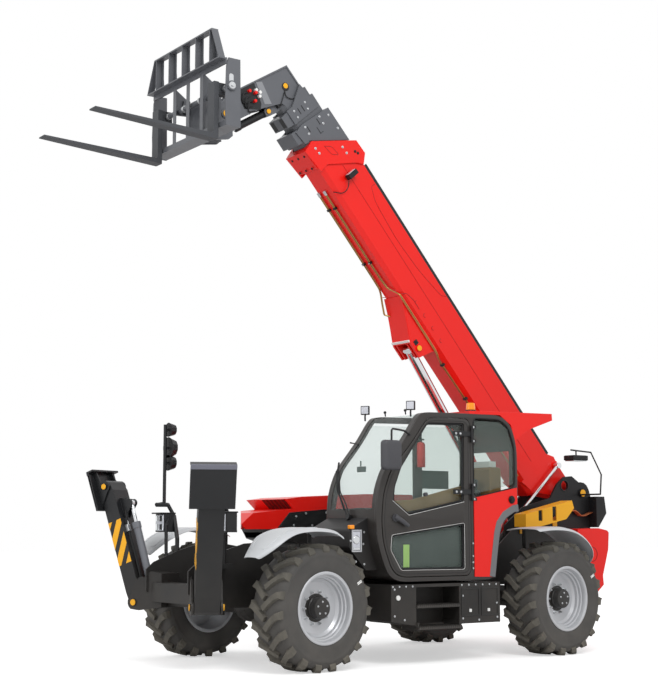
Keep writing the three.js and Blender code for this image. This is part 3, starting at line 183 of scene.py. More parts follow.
@dataclass(frozen=True)
class Finish:
    """A surface: its colour, how it varies, how rough it is and what dust lies on it."""

    name: str
    colour: Colour
    roughness: float = 0.4
    metallic: float = 0.0
    coat: float = 0.0
    shade: float = 0.12
    mottle: float = 3.0
    grain: float = 0.02
    grain_scale: float = 90.0
    dust: float = 0.0
    slot: str = "black_paint"
    glow: float = 0.0
    uneven: float = 0.08
    dust_top: float = 1.5

    def material(self) -> bpy.types.Material:
        """Return the material, making it the first time."""
        made = bpy.data.materials.get(self.name)
        return made if made else self.build()

    def build(self) -> bpy.types.Material:
        """Return a new material with a mottled colour, uneven gloss and a fine grain."""
        made = bpy.data.materials.new(self.name)
        made.use_nodes = True
        tree, link = made.node_tree, made.node_tree.links.new
        shader = tree.nodes["Principled BSDF"]
        place = add_node(tree, "TexCoord").outputs["Object"]
        cloud = add_node(tree, "TexNoise", {"Scale": self.mottle, "Detail": 6})
        link(place, cloud.inputs["Vector"])
        dark = (*(c * (1 - self.shade) for c in self.colour), 1)
        pale = (*(min(1.0, c * (1 + self.shade)) for c in self.colour), 1)
        tint = add_node(tree, "Mix", {6: dark, 7: pale}, data_type="RGBA")
        link(cloud.outputs["Fac"], tint.inputs["Factor"])
        colour = tint.outputs[2]
        if self.dust:
            colour = self.dusted(tree, place, cloud, colour)
        link(colour, shader.inputs["Base Color"])
        glossy, dull = max(0.02, self.roughness - self.uneven), min(1.0, self.roughness + self.uneven)
        gloss = add_node(tree, "MapRange", {"To Min": glossy, "To Max": dull})
        link(cloud.outputs["Fac"], gloss.inputs["Value"])
        link(gloss.outputs["Result"], shader.inputs["Roughness"])
        grit = add_node(tree, "TexNoise", {"Scale": self.grain_scale, "Detail": 4})
        link(place, grit.inputs["Vector"])
        bump = add_node(tree, "Bump", {"Strength": self.grain, "Distance": 0.01})
        link(grit.outputs["Fac"], bump.inputs["Height"])
        link(bump.outputs["Normal"], shader.inputs["Normal"])
        shader.inputs["Metallic"].default_value = self.metallic
        shader.inputs["Coat Weight"].default_value = self.coat
        shader.inputs["Coat Roughness"].default_value = 0.08
        shader.inputs["Specular IOR Level"].default_value = 0.35
        if self.glow:
            shader.inputs["Emission Color"].default_value = (*self.colour, 1)
            shader.inputs["Emission Strength"].default_value = self.glow
        return made

    def dusted(
        self,
        tree: bpy.types.NodeTree,
        place: bpy.types.NodeSocket,
        cloud: bpy.types.Node,
        colour: bpy.types.NodeSocket,
    ) -> bpy.types.NodeSocket:
        """Return the colour with pale dust over it, thicker near the ground.

        Args:
            tree: the material's nodes.
            place: the position on the object.
            cloud: the noise that breaks the dust up.
            colour: the clean colour.

        Returns:
            The dusty colour.
        """
        height = add_node(tree, "SeparateXYZ")
        tree.links.new(place, height.inputs["Vector"])
        low = add_node(tree, "MapRange", {"From Min": self.dust_top, "From Max": 0.0, "To Max": self.dust})
        tree.links.new(height.outputs["Z"], low.inputs["Value"])
        patch = add_node(tree, "Math", operation="MULTIPLY")
        tree.links.new(low.outputs["Result"], patch.inputs[0])
        tree.links.new(cloud.outputs["Fac"], patch.inputs[1])
        over = add_node(tree, "Mix", {7: (*linear(150, 140, 126), 1)}, data_type="RGBA")
        tree.links.new(patch.outputs["Value"], over.inputs["Factor"])
        tree.links.new(colour, over.inputs[6])
        return over.outputs[2]


@dataclass(frozen=True)
class Glazing(Finish):
    """Tinted glass that lets the inside show."""

    def build(self) -> bpy.types.Material:
        """Return a thin clear material that mixes a gloss coat with a tint."""
        made = bpy.data.materials.new(self.name)
        made.use_nodes = True
        tree, link = made.node_tree, made.node_tree.links.new
        shader = tree.nodes["Principled BSDF"]
        shader.inputs["Base Color"].default_value = (*self.colour, 1)
        shader.inputs["Roughness"].default_value = self.roughness
        shader.inputs["Specular IOR Level"].default_value = 0.4
        clear = add_node(tree, "BsdfTransparent", {"Color": (*(c**0.25 for c in self.colour), 1)})
        haze = add_node(tree, "TexNoise", {"Scale": 2.0})
        amount = add_node(tree, "MapRange", {"To Min": self.shade * 0.8, "To Max": self.shade * 1.2})
        link(add_node(tree, "TexCoord").outputs["Object"], haze.inputs["Vector"])
        link(haze.outputs["Fac"], amount.inputs["Value"])
        blend = add_node(tree, "MixShader")
        link(amount.outputs["Result"], blend.inputs["Fac"])
        link(clear.outputs["BSDF"], blend.inputs[1])
        link(shader.outputs["BSDF"], blend.inputs[2])
        link(blend.outputs["Shader"], tree.nodes["Material Output"].inputs["Surface"])
        return made


RED = Finish("red_enamel", linear(236, 24, 14), 0.34, coat=0.08, shade=0.05, grain=0.01, slot="red_paint")
BLACK = Finish("black_enamel", linear(27, 28, 30), 0.4, coat=0.06, shade=0.2, dust=0.16)
CHASSIS = Finish("chassis_black", linear(24, 24, 26), 0.5, shade=0.25, grain=0.05, dust=0.22)
GREY = Finish("slate_grey_enamel", linear(94, 96, 101), 0.36, coat=0.12, shade=0.12, slot="grey_paint")
FORK = Finish("fork_black", linear(66, 68, 72), 0.5, shade=0.2, grain=0.06, slot="steel")
SILVER = Finish("rim_silver", linear(196, 198, 202), 0.34, 0.3, shade=0.08, dust=0.2, slot="silver_paint")
FENDER = Finish("fender_grey", linear(150, 153, 162), 0.24, coat=0.3, shade=0.06, slot="fender_grey")
YELLOW = Finish("safety_yellow", linear(244, 176, 32), 0.4, shade=0.08, slot="yellow_paint")
PLASTIC = Finish(
    "moulded_black", linear(22, 22, 24), 0.5, shade=0.15, grain=0.12, grain_scale=300, slot="black_plastic"
)
RUBBER = Finish("hose_rubber", linear(26, 26, 27), 0.6, shade=0.15, grain=0.05, slot="black_plastic")
TREAD = Finish(
    "tyre_tread",
    linear(88, 86, 80),
    0.85,
    shade=0.3,
    mottle=9,
    grain=0.2,
    grain_scale=160,
    dust=0.35,
    slot="tyre",
)
CHROME = Finish("hard_chrome", linear(222, 224, 226), 0.1, 1.0, shade=0.04, grain=0.0, slot="chrome")
ZINC = Finish("zinc_bolt", linear(196, 198, 200), 0.35, 0.8, shade=0.1, slot="chrome")
BRASS = Finish("brass_pipe", linear(176, 142, 84), 0.32, 0.75, shade=0.15, slot="chrome")
COPPER = Finish("copper_pipe", linear(190, 110, 72), 0.32, 0.8, shade=0.15, slot="chrome")
AMBER = Finish("amber_lens", linear(250, 150, 20), 0.2, coat=0.3, shade=0.08, glow=0.12, slot="yellow_paint")
LENS = Finish("lamp_lens", linear(206, 208, 216), 0.1, coat=0.4, shade=0.2, mottle=30, slot="glass")
WHITE = Finish("white_trim", linear(236, 236, 234), 0.4, shade=0.04, slot="silver_paint")
CLOTH = Finish(
    "seat_cloth", linear(60, 58, 58), 0.9, shade=0.2, mottle=30, grain=0.3, grain_scale=500, slot="cloth"
)
DASH = Finish("dash_brown", linear(134, 100, 56), 0.6, shade=0.15, grain=0.1, slot="black_plastic")
IRON = Finish("engine_iron", linear(92, 95, 98), 0.6, 0.4, shade=0.25, grain=0.15, slot="engine")
MIRROR = Finish("mirror_glass", linear(230, 234, 236), 0.03, 1.0, shade=0.02, grain=0.0, slot="chrome")
SIDEWALL = Finish(
    "tyre_sidewall", linear(72, 71, 70), 0.7, shade=0.22, mottle=6, grain=0.08, dust=0.2, slot="tyre"
)
# A darker copy of the red paint, laid in pressed lines, slots, rings and the intake's bars as painted shade.
RED_PAINTED_SHADE = Finish("red_shadow_line", linear(168, 20, 20), 0.4, shade=0.05, slot="red_paint")
CAB_BROWN = Finish("cab_charcoal", linear(52, 49, 47), 0.36, coat=0.14, shade=0.12)
ARCH = Finish("arch_grey", linear(112, 113, 116), 0.5, shade=0.1, slot="grey_paint")
FOOT_EDGE = Finish("foot_edge_grey", linear(112, 113, 124), 0.45, shade=0.1, slot="grey_paint")
STEEL = Finish("tread_steel", linear(58, 58, 60), 0.45, 0.4, shade=0.2, grain=0.08, dust=0.4, slot="steel")
MIRROR_BACK = Finish(
    "mirror_back_grey", linear(74, 74, 78), 0.5, shade=0.08, grain=0.06, grain_scale=300, slot="black_plastic"
)
BARREL = Finish("cylinder_grey", linear(112, 114, 120), 0.4, shade=0.1, slot="black_paint")
# Very dark red: painted shadow inside the hood's intake opening.
INTAKE_PAINTED_SHADOW = Finish("intake_shadow", linear(96, 14, 12), 0.6, shade=0.2, slot="red_paint")
PALE_GREY = Finish("worn_grey", linear(134, 136, 140), 0.3, shade=0.2, slot="grey_paint")
STRIP = Finish("green_strip", linear(168, 206, 112), 0.5, shade=0.1, slot="yellow_paint")
DARK_TEAL = Finish("dark_teal_trim", linear(44, 70, 64), 0.5, shade=0.15, slot="black_plastic")
# Green tint made almost black: the lower door pane's real tint plus painted shade of the cab's dark inside.
TINTED_SHADE_GLASS = Glazing("tinted_glass_painted_shade", linear(18, 27, 25), 0.05, shade=0.86, slot="glass")
FLOOR = Finish("studio_floor", (0.9, 0.9, 0.9), 0.9, shade=0.005, grain=0.0)
GLASS = Glazing("cab_glass", linear(200, 214, 208), 0.04, shade=0.08, slot="glass")
CLEAR = Glazing("clear_glass", linear(228, 236, 234), 0.03, shade=0.07, slot="glass")


# ---- shapes -------------------------------------------------------------------------------------


def turns(count: int) -> list[float]:
    """Return evenly spaced angles round a full turn."""
    return [2 * math.pi * k / count for k in range(count)]


def on_circle(x: float, z: float, radius: float, angles: Iterable[float]) -> list[tuple[float, float]]:
    """Return points on a circle at some angles."""
    return [(x + radius * math.cos(a), z + radius * math.sin(a)) for a in angles]


def at_y(points: Outline, y: float) -> list[tuple[float, float, float]]:
    """Return an outline's points, given in X and Z, at one Y."""
    return [(x, y, z) for x, z in points]


class Shape:
    """A mesh under construction, given in the millimetres of one frame of reference."""

    def __init__(self, frame_of: Matrix = MACHINE) -> None:
        """Start an empty shape in a frame of reference."""
        self.bm = bmesh.new()
        self.frame_of = frame_of

    def _face(self, corners: Iterable[bmesh.types.BMVert]) -> None:
        """Add one face, leaving out one that is there already."""
        try:
            self.bm.faces.new(list(corners))
        except ValueError:
            LOG.debug("a repeated face was left out")

    def _points(self, points: Path) -> list[bmesh.types.BMVert]:
        """Return new corners at the points."""
        return [self.bm.verts.new(self.frame_of @ Vector(p)) for p in points]

    def loft(self, rings: Sequence[Path], closed: bool = False, caps: bool = True) -> "Shape":
        """Skin a row of rings that have the same number of points.

        Args:
            rings: the rings, in order.
            closed: whether the last ring joins the first.
            caps: whether open ends are filled.

        Returns:
            The shape itself.
        """
        made = [self._points(ring) for ring in rings]
        pairs = list(zip(made, made[1:])) + ([(made[-1], made[0])] if closed else [])
        for a, b in pairs:
            for i in range(len(a)):
                j = (i + 1) % len(a)
                self._face((a[i], a[j], b[j], b[i]))
        if caps and not closed:
            self._face(made[0])
            self._face(reversed(made[-1]))
        return self

    def sheet(self, rows: Sequence[Path]) -> "Shape":
        """Skin a row of open lines that have the same number of points."""
        made = [self._points(row) for row in rows]
        for a, b in zip(made, made[1:]):
            for j in range(len(a) - 1):
                self._face((a[j], a[j + 1], b[j + 1], b[j]))
        return self

    def box(self, low: Point, high: Point) -> "Shape":
        """Add a block between two corners."""
        (x0, y0, z0), (x1, y1, z1) = low, high
        return self.loft([[(x0, y0, z), (x1, y0, z), (x1, y1, z), (x0, y1, z)] for z in (z0, z1)])

    def plate(self, points: Outline, y0: float, y1: float) -> "Shape":
        """Add an outline in X and Z, from y0 to y1."""
        return self.loft([at_y(points, y) for y in (y0, y1)])

    def beam(self, points: Outline, x0: float, x1: float) -> "Shape":
        """Add an outline in Y and Z, from x0 to x1."""
        return self.loft([[(x, y, z) for y, z in points] for x in (x0, x1)])

    def rod(
        self, start: Point, end: Point, radius: float, tip: float | None = None, sides: int = 20
    ) -> "Shape":
        """Add a round bar or cone between two points."""
        return self.tube([start, end], radius, sides, tip)

    def tube(self, path: Path, radius: float, sides: int = 10, tip: float | None = None) -> "Shape":
        """Add a round tube along a path.

        Args:
            path: the centre line's points.
            radius: the tube's radius.
            sides: how many facets it has round it.
            tip: the radius at the far end, if it tapers.

        Returns:
            The shape itself.
        """
        points = [Vector(p) for p in path]
        last = len(points) - 1
        side = None
        rings = []
        for i, point in enumerate(points):
            along = (points[min(i + 1, last)] - points[max(i - 1, 0)]).normalized()
            if side is None:
                start = Vector((0, 0, 1)) if abs(along.z) < 0.9 else Vector((1, 0, 0))
                side = along.cross(start).normalized()
            side = (side - along * side.dot(along)).normalized()
            up = along.cross(side)
            wide = radius + ((tip if tip is not None else radius) - radius) * i / last
            rings.append([point + (side * math.cos(a) + up * math.sin(a)) * wide for a in turns(sides)])
        return self.loft(rings)

    def piping(self, points: Outline, y: float, radius: float, sides: int = 6) -> "Shape":
        """Add a tube along a closed outline in X and Z, at one Y."""
        return self.tube(at_y([*points, points[0]], y), radius, sides)

    def hose(self, path: Path, radius: float, sides: int = 8, steps: int = 6) -> "Shape":
        """Add a tube along a smooth curve through the points."""
        return self.tube(smooth_path(path, steps), radius, sides)

    def lathe(self, profile: Outline, segments: int = 64, axis: str = "Y") -> "Shape":
        """Turn a closed profile of (radius, height) points about an axis through the frame's origin.

        Args:
            profile: the outline's points, in order.
            segments: how many steps the turn has.
            axis: "Y" or "Z".

        Returns:
            The shape itself.
        """
        rings = []
        for angle in turns(segments):
            c, s = math.cos(angle), math.sin(angle)
            rings.append([(r * c, h, r * s) if axis == "Y" else (r * c, r * s, h) for r, h in profile])
        return self.loft(rings, closed=True)

    def bolt(self, centre: Point, towards: Point, radius: float = 11, height: float = 9) -> "Shape":
        """Add a hexagon bolt head on its washer."""
        start, way = Vector(centre), Vector(towards).normalized()
        self.rod(start, start + way * height * 0.3, radius * 1.35, sides=16)
        return self.rod(start, start + way * height, radius, sides=6)

    def bolts(self, centres: Path, towards: Point, radius: float = 11, height: float = 9) -> "Shape":
        """Add a bolt head at each of several places."""
        for centre in centres:
            self.bolt(centre, towards, radius, height)
        return self

    def ball(self, centre: Point, radius: float, squash: float = 1.0) -> "Shape":
        """Add a ball, flattened in Z by a factor."""
        rings = []
        for i in range(1, 10):
            a = math.pi * i / 10
            wide, high = radius * math.sin(a), -radius * math.cos(a) * squash
            x, y, z = centre
            rings.append([(px, py, z + high) for px, py in on_circle(x, y, wide, turns(16))])
        return self.loft(rings)

    def finish(
        self,
        name: str,
        finish: Finish,
        body: str,
        replaces: Sequence[str] = (),
        bevel: float = 0.0,
        angle: float = 35.0,
    ) -> bpy.types.Object:
        """Turn the shape into an object that rides on a body.

        Args:
            name: the piece's name.
            finish: its surface.
            body: the body that it moves with.
            replaces: CAD nodes that it stands for.
            bevel: the width of its rounded edges in millimetres.
            angle: edges sharper than this many degrees stay crisp.

        Returns:
            The new object.
        """
        bmesh.ops.recalc_face_normals(self.bm, faces=self.bm.faces)
        mesh = bpy.data.meshes.new(name)
        self.bm.to_mesh(mesh)
        self.bm.free()
        mesh.shade_smooth()
        mesh.set_sharp_from_angle(angle=math.radians(angle))
        made = bpy.data.objects.new(name, mesh)
        bpy.context.collection.objects.link(made)
        mesh.materials.append(finish.material())
        if bevel:
            soften(made, bevel)
        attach(made, body)
        if replaces:
            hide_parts(*replaces)
        return made


def soften(made: bpy.types.Object, width: float) -> None:
    """Round an object's sharp edges by a width in millimetres."""
    round_off = made.modifiers.new("round", "BEVEL")
    round_off.width = width * MACHINE_UNIT
    round_off.segments = 2
    round_off.limit_method = "ANGLE"
    round_off.angle_limit = math.radians(38)
    round_off.harden_normals = True
    round_off.use_clamp_overlap = True


def subdivide(made: bpy.types.Object, levels: int) -> None:
    """Smooth an object by a number of subdivisions."""
    smooth = made.modifiers.new("smooth", "SUBSURF")
    smooth.levels = levels
    smooth.render_levels = levels


def smooth_path(path: Path, steps: int = 6) -> list[Vector]:
    """Return a smooth curve through points.

    Args:
        path: the points.
        steps: how many stretches each gap is cut into.

    Returns:
        The curve's points.
    """
    points = [Vector(p) for p in path]
    ends = [points[0] * 2 - points[1], *points, points[-1] * 2 - points[-2]]
    made = []
    for i in range(1, len(ends) - 2):
        a, b, c, d = ends[i - 1 : i + 3]
        for k in range(steps):
            t = k / steps
            bend, twist = 2 * a - 5 * b + 4 * c - d, 3 * b - a - 3 * c + d
            made.append(0.5 * (2 * b + (c - a) * t + bend * t**2 + twist * t**3))
    return [*made, points[-1]]


def frame_strip(points: Outline, width: float) -> list[Outline]:
    """Return the four-cornered strips that border an outline on its inside.

    Args:
        points: the outline, anticlockwise.
        width: how wide the border is.

    Returns:
        One quadrilateral for each edge.
    """
    inner = inset(points, width)
    count = len(points)
    return [(points[i], points[(i + 1) % count], inner[(i + 1) % count], inner[i]) for i in range(count)]


def inset(points: Outline, distance: float) -> list[tuple[float, float]]:
    """Return an anticlockwise outline moved inward by a distance."""
    made = []
    count = len(points)
    for i in range(count):
        here, before, after = Vector(points[i]), Vector(points[i - 1]), Vector(points[(i + 1) % count])
        a, b = (here - before).normalized(), (after - here).normalized()
        scale = distance / (1 + a.dot(b))
        made.append((here.x - (a.y + b.y) * scale, here.y + (a.x + b.x) * scale))
    return made


def dress(node: str, finish: Finish, bevel: float = 3.0) -> None:
    """Give a CAD node its finish and softened edges.

    Args:
        node: the node's name.
        finish: its surface.
        bevel: the width of its rounded edges in millimetres.
    """
    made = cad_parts[node]
    made.data.materials.clear()
    made.data.materials.append(finish.material())
    weld = made.modifiers.new("weld", "WELD")
    weld.merge_threshold = 0.0001
    if bevel:
        soften(made, bevel)
    even = made.modifiers.new("even", "WEIGHTED_NORMAL")
    even.keep_sharp = True


# ---- wheels and fenders -------------------------------------------------------------------------


@dataclass(frozen=True)
class Wheel:
    """One wheel: a tractor tyre on a stepped rim."""

    end: End
    side: Side
    radius: float = 588
    carcass: float = 552
    half: float = 205
    bead: float = 312.5
    lugs: int = 19
    clearance: float = 0.0005

    @property
    def name(self) -> str:
        """Return the wheel's corner, as node names spell it."""
        return f"{self.end.word}_{self.side.word}"

    @property
    def body(self) -> str:
        """Return the body that the wheel turns with."""
        return f"wheel_{self.name}"

    def shape(self) -> Shape:
        """Return an empty shape in the wheel's frame."""
        return Shape(wheel_frame(self.end, self.side))

    def tyre(self) -> None:
        """Make the carcass with its bulging sidewalls and a ridge on each."""
        half = self.half
        outer = [(self.bead, 184), (330, 189), (345, 199), (380, half), (440, half), (474, 204), (482, 207)]
        outer += [(490, 203), (520, 197), (541, 176), (549, 120), (self.carcass, 50)]
        profile = outer + [(r, -y) for r, y in reversed(outer)]
        made = self.shape().lathe(profile, 96)
        made.finish(f"tyre_carcass_{self.name}", SIDEWALL, self.body, [f"tyre_{self.name}"], angle=50)

    def tread(self) -> None:
        """Make the lugs: bars that sweep from the middle of the tread over each shoulder in turn."""
        made = self.shape()
        stations = [(-10, 13.2, 588, 27), (62, 7.6, 588, 25), (128, 2.9, 586, 27)]
        stations += [(180, 0.6, 581, 33), (204, 0, 556, 38), (208, -0.4, 520, 42)]
        for k in range(self.lugs):
            for hand in BOTH:
                turn = 360 * (k + (0.5 if hand < 0 else 0)) / self.lugs
                made.loft([self.lug_ring(hand, turn, *station) for station in stations])
        for corner in made.bm.verts:
            corner.co.z = max(corner.co.z, self.clearance)
        made.finish(f"tyre_lugs_{self.name}", TREAD, self.body, bevel=3, angle=30)

    def lug_ring(
        self, hand: int, turn: float, y: float, lead: float, top: float, half: float
    ) -> list[Vector]:
        """Return a lug's section at one station.

        Args:
            hand: which half of the tread it lies on.
            turn: where the lug starts, in degrees round the wheel.
            y: how far across the tread the station is.
            lead: how far ahead of the start it is, in degrees.
            top: the radius of the lug's face.
            half: half its width.

        Returns:
            Four corners: two on the face, two sunk into the carcass.
        """
        slope = 0.0 if y > 190 else math.radians(38)
        made = []
        root, wide = top - 62, half * 1.3
        for lift, spread in ((top, -half), (top, half), (root, wide), (root, -wide)):
            reach = y + spread * math.sin(slope)
            if lift < top and y > 150:
                reach -= 34
            a = math.radians(turn + lead) + spread * math.cos(slope) / self.radius
            made.append(Vector((lift * math.sin(a), hand * reach, lift * math.cos(a))))
        return made

    def rim(self) -> None:
        """Make the dished rim, its hub, its nuts and its valve."""
        profile = [(self.bead - 1, 190.5), (332, 191), (333, 198), (324, 203), (308, 200), (299, 184)]
        profile += [(296, 152), (284, 146), (281, 120), (270, 112), (264, 84), (238, 62), (104, 56)]
        profile += [(104, 34), (270, 30)]
        profile += [(284, -20), (291, -150), (300, -198), (318, -203), (332, -199), (332, -191)]
        made = self.shape().lathe([*profile, (self.bead - 1, -190.5)], 96)
        made.finish(f"rim_dish_{self.name}", SILVER, self.body, [f"rim_{self.name}"], angle=24)
        hub = [(0.5, 20), (130, 20), (130, 59), (106, 62), (106, 78), (99, 84), (99, 138), (93, 150)]
        made = self.shape().lathe([*hub, (60, 155), (0.5, 155)], 48)
        made.finish(f"hub_{self.name}", BLACK, self.body, angle=28)
        nuts = self.shape()
        for x, z in on_circle(0, 0, 150, turns(10)):
            nuts.bolt((x, 57, z), LEFTWARD, 15, 18).rod((x, 57, z), (x, 92, z), 8, sides=10)
        for x, z in on_circle(0, 0, 58, [2 * math.pi * (k + 0.25) / 5 for k in range(5)]):
            nuts.bolt((x, 154, z), LEFTWARD, 7, 7)
        nuts.tube([(232, 66, 120), (222, 92, 116), (214, 118, 112)], 5).box((214, 92, 104), (240, 104, 128))
        nuts.finish(f"wheel_nuts_{self.name}", ZINC, self.body)

    def mark(self) -> None:
        """Make the pair of white strokes on the sidewall."""
        made = self.shape()
        for turn in (-0.008, 0.022):
            a = math.radians(-62) + turn
            start, stop = ((r * math.sin(a), 206, r * math.cos(a)) for r in (438, 494))
            made.rod(start, stop, 6, sides=8)
        made.finish(f"sidewall_mark_{self.name}", WHITE, self.body)

    def build(self) -> None:
        """Make the whole wheel; only the left ones are marked."""
        self.tyre()
        self.tread()
        self.rim()
        if self.side is Side.LEFT:
            self.mark()


@dataclass(frozen=True)
class Fender:
    """A moulded mudguard over a wheel, seen from the side as a line from its rear end to its front."""

    end: End
    side: Side
    line: tuple[tuple[float, float], ...]
    inner: tuple[float, float] = (-34, 84)
    outer: tuple[float, float] = (412, 276)
    taper: float = 0.7

    def edges(self, share: float) -> tuple[float, float]:
        """Return the inner and outer edge at a share of the line; both draw in towards the tip."""
        draw = max(0.0, (share - self.taper) / (1 - self.taper))
        return (
            self.inner[0] + (self.inner[1] - self.inner[0]) * draw**0.9,
            self.outer[0] + (self.outer[1] - self.outer[0]) * draw**2.2,
        )

    def build(self) -> None:
        """Make the crowned shell with its turned-down edges and the raised line on its top."""
        path = smooth_path([(x, 0, z) for x, z in self.line], 5)
        last = len(path) - 1
        shares = (0, 0.04, 0.1, 0.3, 0.5, 0.7, 0.9, 0.96, 1)
        rows = [[self.at(p, *self.edges(i / last), across) for across in shares] for i, p in enumerate(path)]
        shell = Shape(corner_frame(self.end, self.side)).sheet(rows)
        name = f"{self.end.word}_{self.side.word}"
        made = shell.finish(f"mudguard_{name}", FENDER, f"steer_{name}", [f"fender_{name}"], angle=70)
        thick = made.modifiers.new("thickness", "SOLIDIFY")
        thick.thickness = 0.007
        thick.offset = 0
        subdivide(made, 1)
        line = Shape(corner_frame(self.end, self.side))
        span = range(int(last * 0.3), int(last * 0.93))
        left = [self.at(path[i], *self.edges(i / last), 0.17, 3) for i in span]
        right = [self.at(path[i], *self.edges(i / last), 0.8, 3) for i in span]
        line.tube([*left, *reversed(right), left[0]], 5, 8)
        line.finish(f"mudguard_bead_{name}", FENDER, f"steer_{name}")

    @staticmethod
    def at(point: Vector, y0: float, y1: float, across: float, lift: float = 0) -> Vector:
        """Return a point of the shell.

        Args:
            point: the place on the side line.
            y0: the inner edge there.
            y1: the outer edge there.
            across: how far from the inner to the outer edge, from 0 to 1.
            lift: how far above the surface.

        Returns:
            The point, from the kingpin.
        """
        out = Vector((point.x, 0, point.z)).normalized()
        crown = 10 + 9 * math.sin(math.pi * across)
        edge = min(across, 1 - across)
        drop = (30 if across > 0.5 else 18) * max(0.0, 1 - edge / 0.05)
        return Vector((point.x, y0 + (y1 - y0) * across, point.z)) + out * (crown - drop + lift - 4)


FENDER_LINES = {
    End.FRONT: (
        *((-230, 640), (-120, 695), (40, 714), (200, 712)),
        *((360, 690), (500, 630), (610, 548), (704, 458)),
    ),
    End.REAR: (
        *((452, 706), (270, 722), (60, 724), (-130, 700)),
        *((-290, 640), (-410, 550), (-490, 440), (-515, 330)),
    ),
}


# ---- boom ---------------------------------------------------------------------------------------


class BoomFittings:
    """Pipes, bolts, lamps and hoses on the boom's sections."""

    half = 160
    top = -40
    bottom = -545
    collar_half = 181
    second_half = 157
    third_half = 135
    nose_half = 99

    def shape(self) -> Shape:
        """Return an empty shape in the boom's frame: X along it, Z square to its top."""
        return Shape(BOOM)

    def pipes(self) -> None:
        """Make the two pairs of pipes under the boom and their clamps."""
        low = self.bottom - 16
        made = self.shape()
        for k in (0, 16):
            path = [(4560, k + 2, low), (3350, k + 2, low), (3240, 168, low - 4 - k * 0.4)]
            path += [(3170, 170, low - 4 - k), (2476, 170, low - 8 - k), (2400, 150, low - 14 - k)]
            path += [(2330, k + 100, low), (1820, k + 118, low), (700, k + 130, low + 30)]
            made.tube(self.rounded(path), 5.5, 8)
            path = [(4560, k - 108, low), (3360, k - 108, low), (3290, k - 140, low)]
            path += [(3180, k - 160, low - 46), (3080, k - 160, -660), (3040, k - 120, -640)]
            made.tube(self.rounded(path), 5.5, 8)
        made.finish("boom_pipes", BRASS, "boom")
        clamps = self.shape()
        for s in (4380, 3676):
            for y in (10, -100):
                clamps.box((s - 13, y - 22, low - 12), (s + 13, y + 22, self.bottom + 4))
        for s, y in ((2290, 110), (1820, 126), (1300, 132)):
            clamps.box((s - 13, y - 24, low - 12), (s + 13, y + 28, self.bottom + 4))
        clamps.finish("pipe_clamps", PLASTIC, "boom", bevel=3)
        unions = self.shape()
        for y in (2, 18, -108, -92):
            unions.rod((4550, y, low), (4600, y, low), 10, sides=6)
            unions.rod((4590, y, low + 16), (4590, y, low - 6), 9, sides=12)
        unions.bolts([(3676, y, low - 12) for y in (10, -100)], DOWNWARD, 7)
        unions.finish("pipe_unions", ZINC, "boom")

    @staticmethod
    def rounded(path: Path) -> list[Vector]:
        """Return the path with its corners cut twice."""
        points = [Vector(p) for p in path]
        for _ in range(2):
            cut = [points[0]]
            for a, b in zip(points, points[1:]):
                cut += [a.lerp(b, 0.12), a.lerp(b, 0.88)]
            points = [*cut, points[-1]]
        return points

    def top_lines(self) -> None:
        """Make the hoses and the rail along the boom's top."""
        made = self.shape()
        for y in (70, 100, -70, -100):
            made.tube([(560, y, -22), (1200, y, -24), (3000, y, -22), (4600, y, -24)], 12, 10)
        made.finish("boom_hoses", RUBBER, "boom")
        rail = self.shape()
        for side in BOTH:
            rail.box((600, side * 148 - 7, self.top - 4), (4560, side * 148 + 7, self.top + 40))
        for s in range(700, 4600, 480):
            rail.box((s, -145, self.top - 3), (s + 40, 145, self.top + 6))
        rail.finish("boom_rail", BLACK, "boom", bevel=2)

    def pressings(self) -> None:
        """Make the pressed lines in the outer section, drawn as darker red tubes that paint the shade in
        their grooves.
        """
        slot = [(4330, -48), (4338, -110), (4180, -176), (3720, -204), (3300, -176), (2900, -104)]
        slot += [(2842, -48)]
        lug = [(3235, -545), (3190, -480), (3080, -448), (2960, -452)]
        lines = self.shape()
        for side in BOTH:
            y = side * (self.half + 0.5)
            lines.tube(self.rounded(at_y(slot, y)), 3, 6).box((700, y - 2, -280), (4720, y + 2, -276))
            lines.tube(self.rounded(at_y(lug, y)), 4, 6)
            for s in (2518, 2690, 2862, 3034):
                arc = on_circle(s, -430, 22, (-2.6, -2.0, -1.4, -0.8, -0.2, 0.4))
                lines.tube(at_y(arc, y), 3.5, 6)
        lines.finish("boom_pressings", RED_PAINTED_SHADE, "boom")

    def collar(self) -> None:
        """Make the bolts on the outer section's collar and the slots in it, the slots outlined in darker red
        as painted shade.
        """
        mark = [(4999, -365), (4946, -287), (4829, -264), (4880, -340), (4999, -365)]
        bolts, dark, slots = self.shape(), self.shape(), self.shape()
        for side in BOTH:
            y = side * self.collar_half
            bolts.bolts(at_y([(5040, -478), (4976, -470), (4868, -170), (4792, -166)], y), (0, side, 0))
            dark.bolts(at_y([(4712, -40), (4745, -60)], y), (0, side, 0), 12)
            slots.tube(self.rounded(at_y(mark, y)), 4, 6)
        bolts.finish("collar_bolts", ZINC, "boom")
        dark.finish("collar_dark_bolts", BLACK, "boom")
        slots.finish("collar_slots", RED_PAINTED_SHADE, "boom")

    def lamp(self) -> None:
        """Make the work lamp near the boom's end, its lens and its lead."""
        y = self.half
        house = self.shape()
        house.box((4565, y, -310), (4605, y + 34, -240)).box((4560, y + 18, -345), (4614, y + 84, -215))
        lead = [(4568, y + 40, -335), (4500, y + 28, -400), (4494, y + 16, -490), (4560, y - 14, -562)]
        house.hose(lead, 5)
        house.finish("boom_lamp", PLASTIC, "boom", bevel=6)
        lens = self.shape().box((4612, y + 26, -335), (4618, y + 76, -225))
        lens.finish("boom_lamp_lens", LENS, "boom", bevel=2)

    def wear_pad(self) -> None:
        """Make the bolts of the wear pad under the collar."""
        places = [(s, y, -604) for y in (-110, 0, 110) for s in (4885, 5035)]
        self.shape().bolts(places, DOWNWARD, 10, 8).finish("wear_pad_bolts", BLACK, "boom")

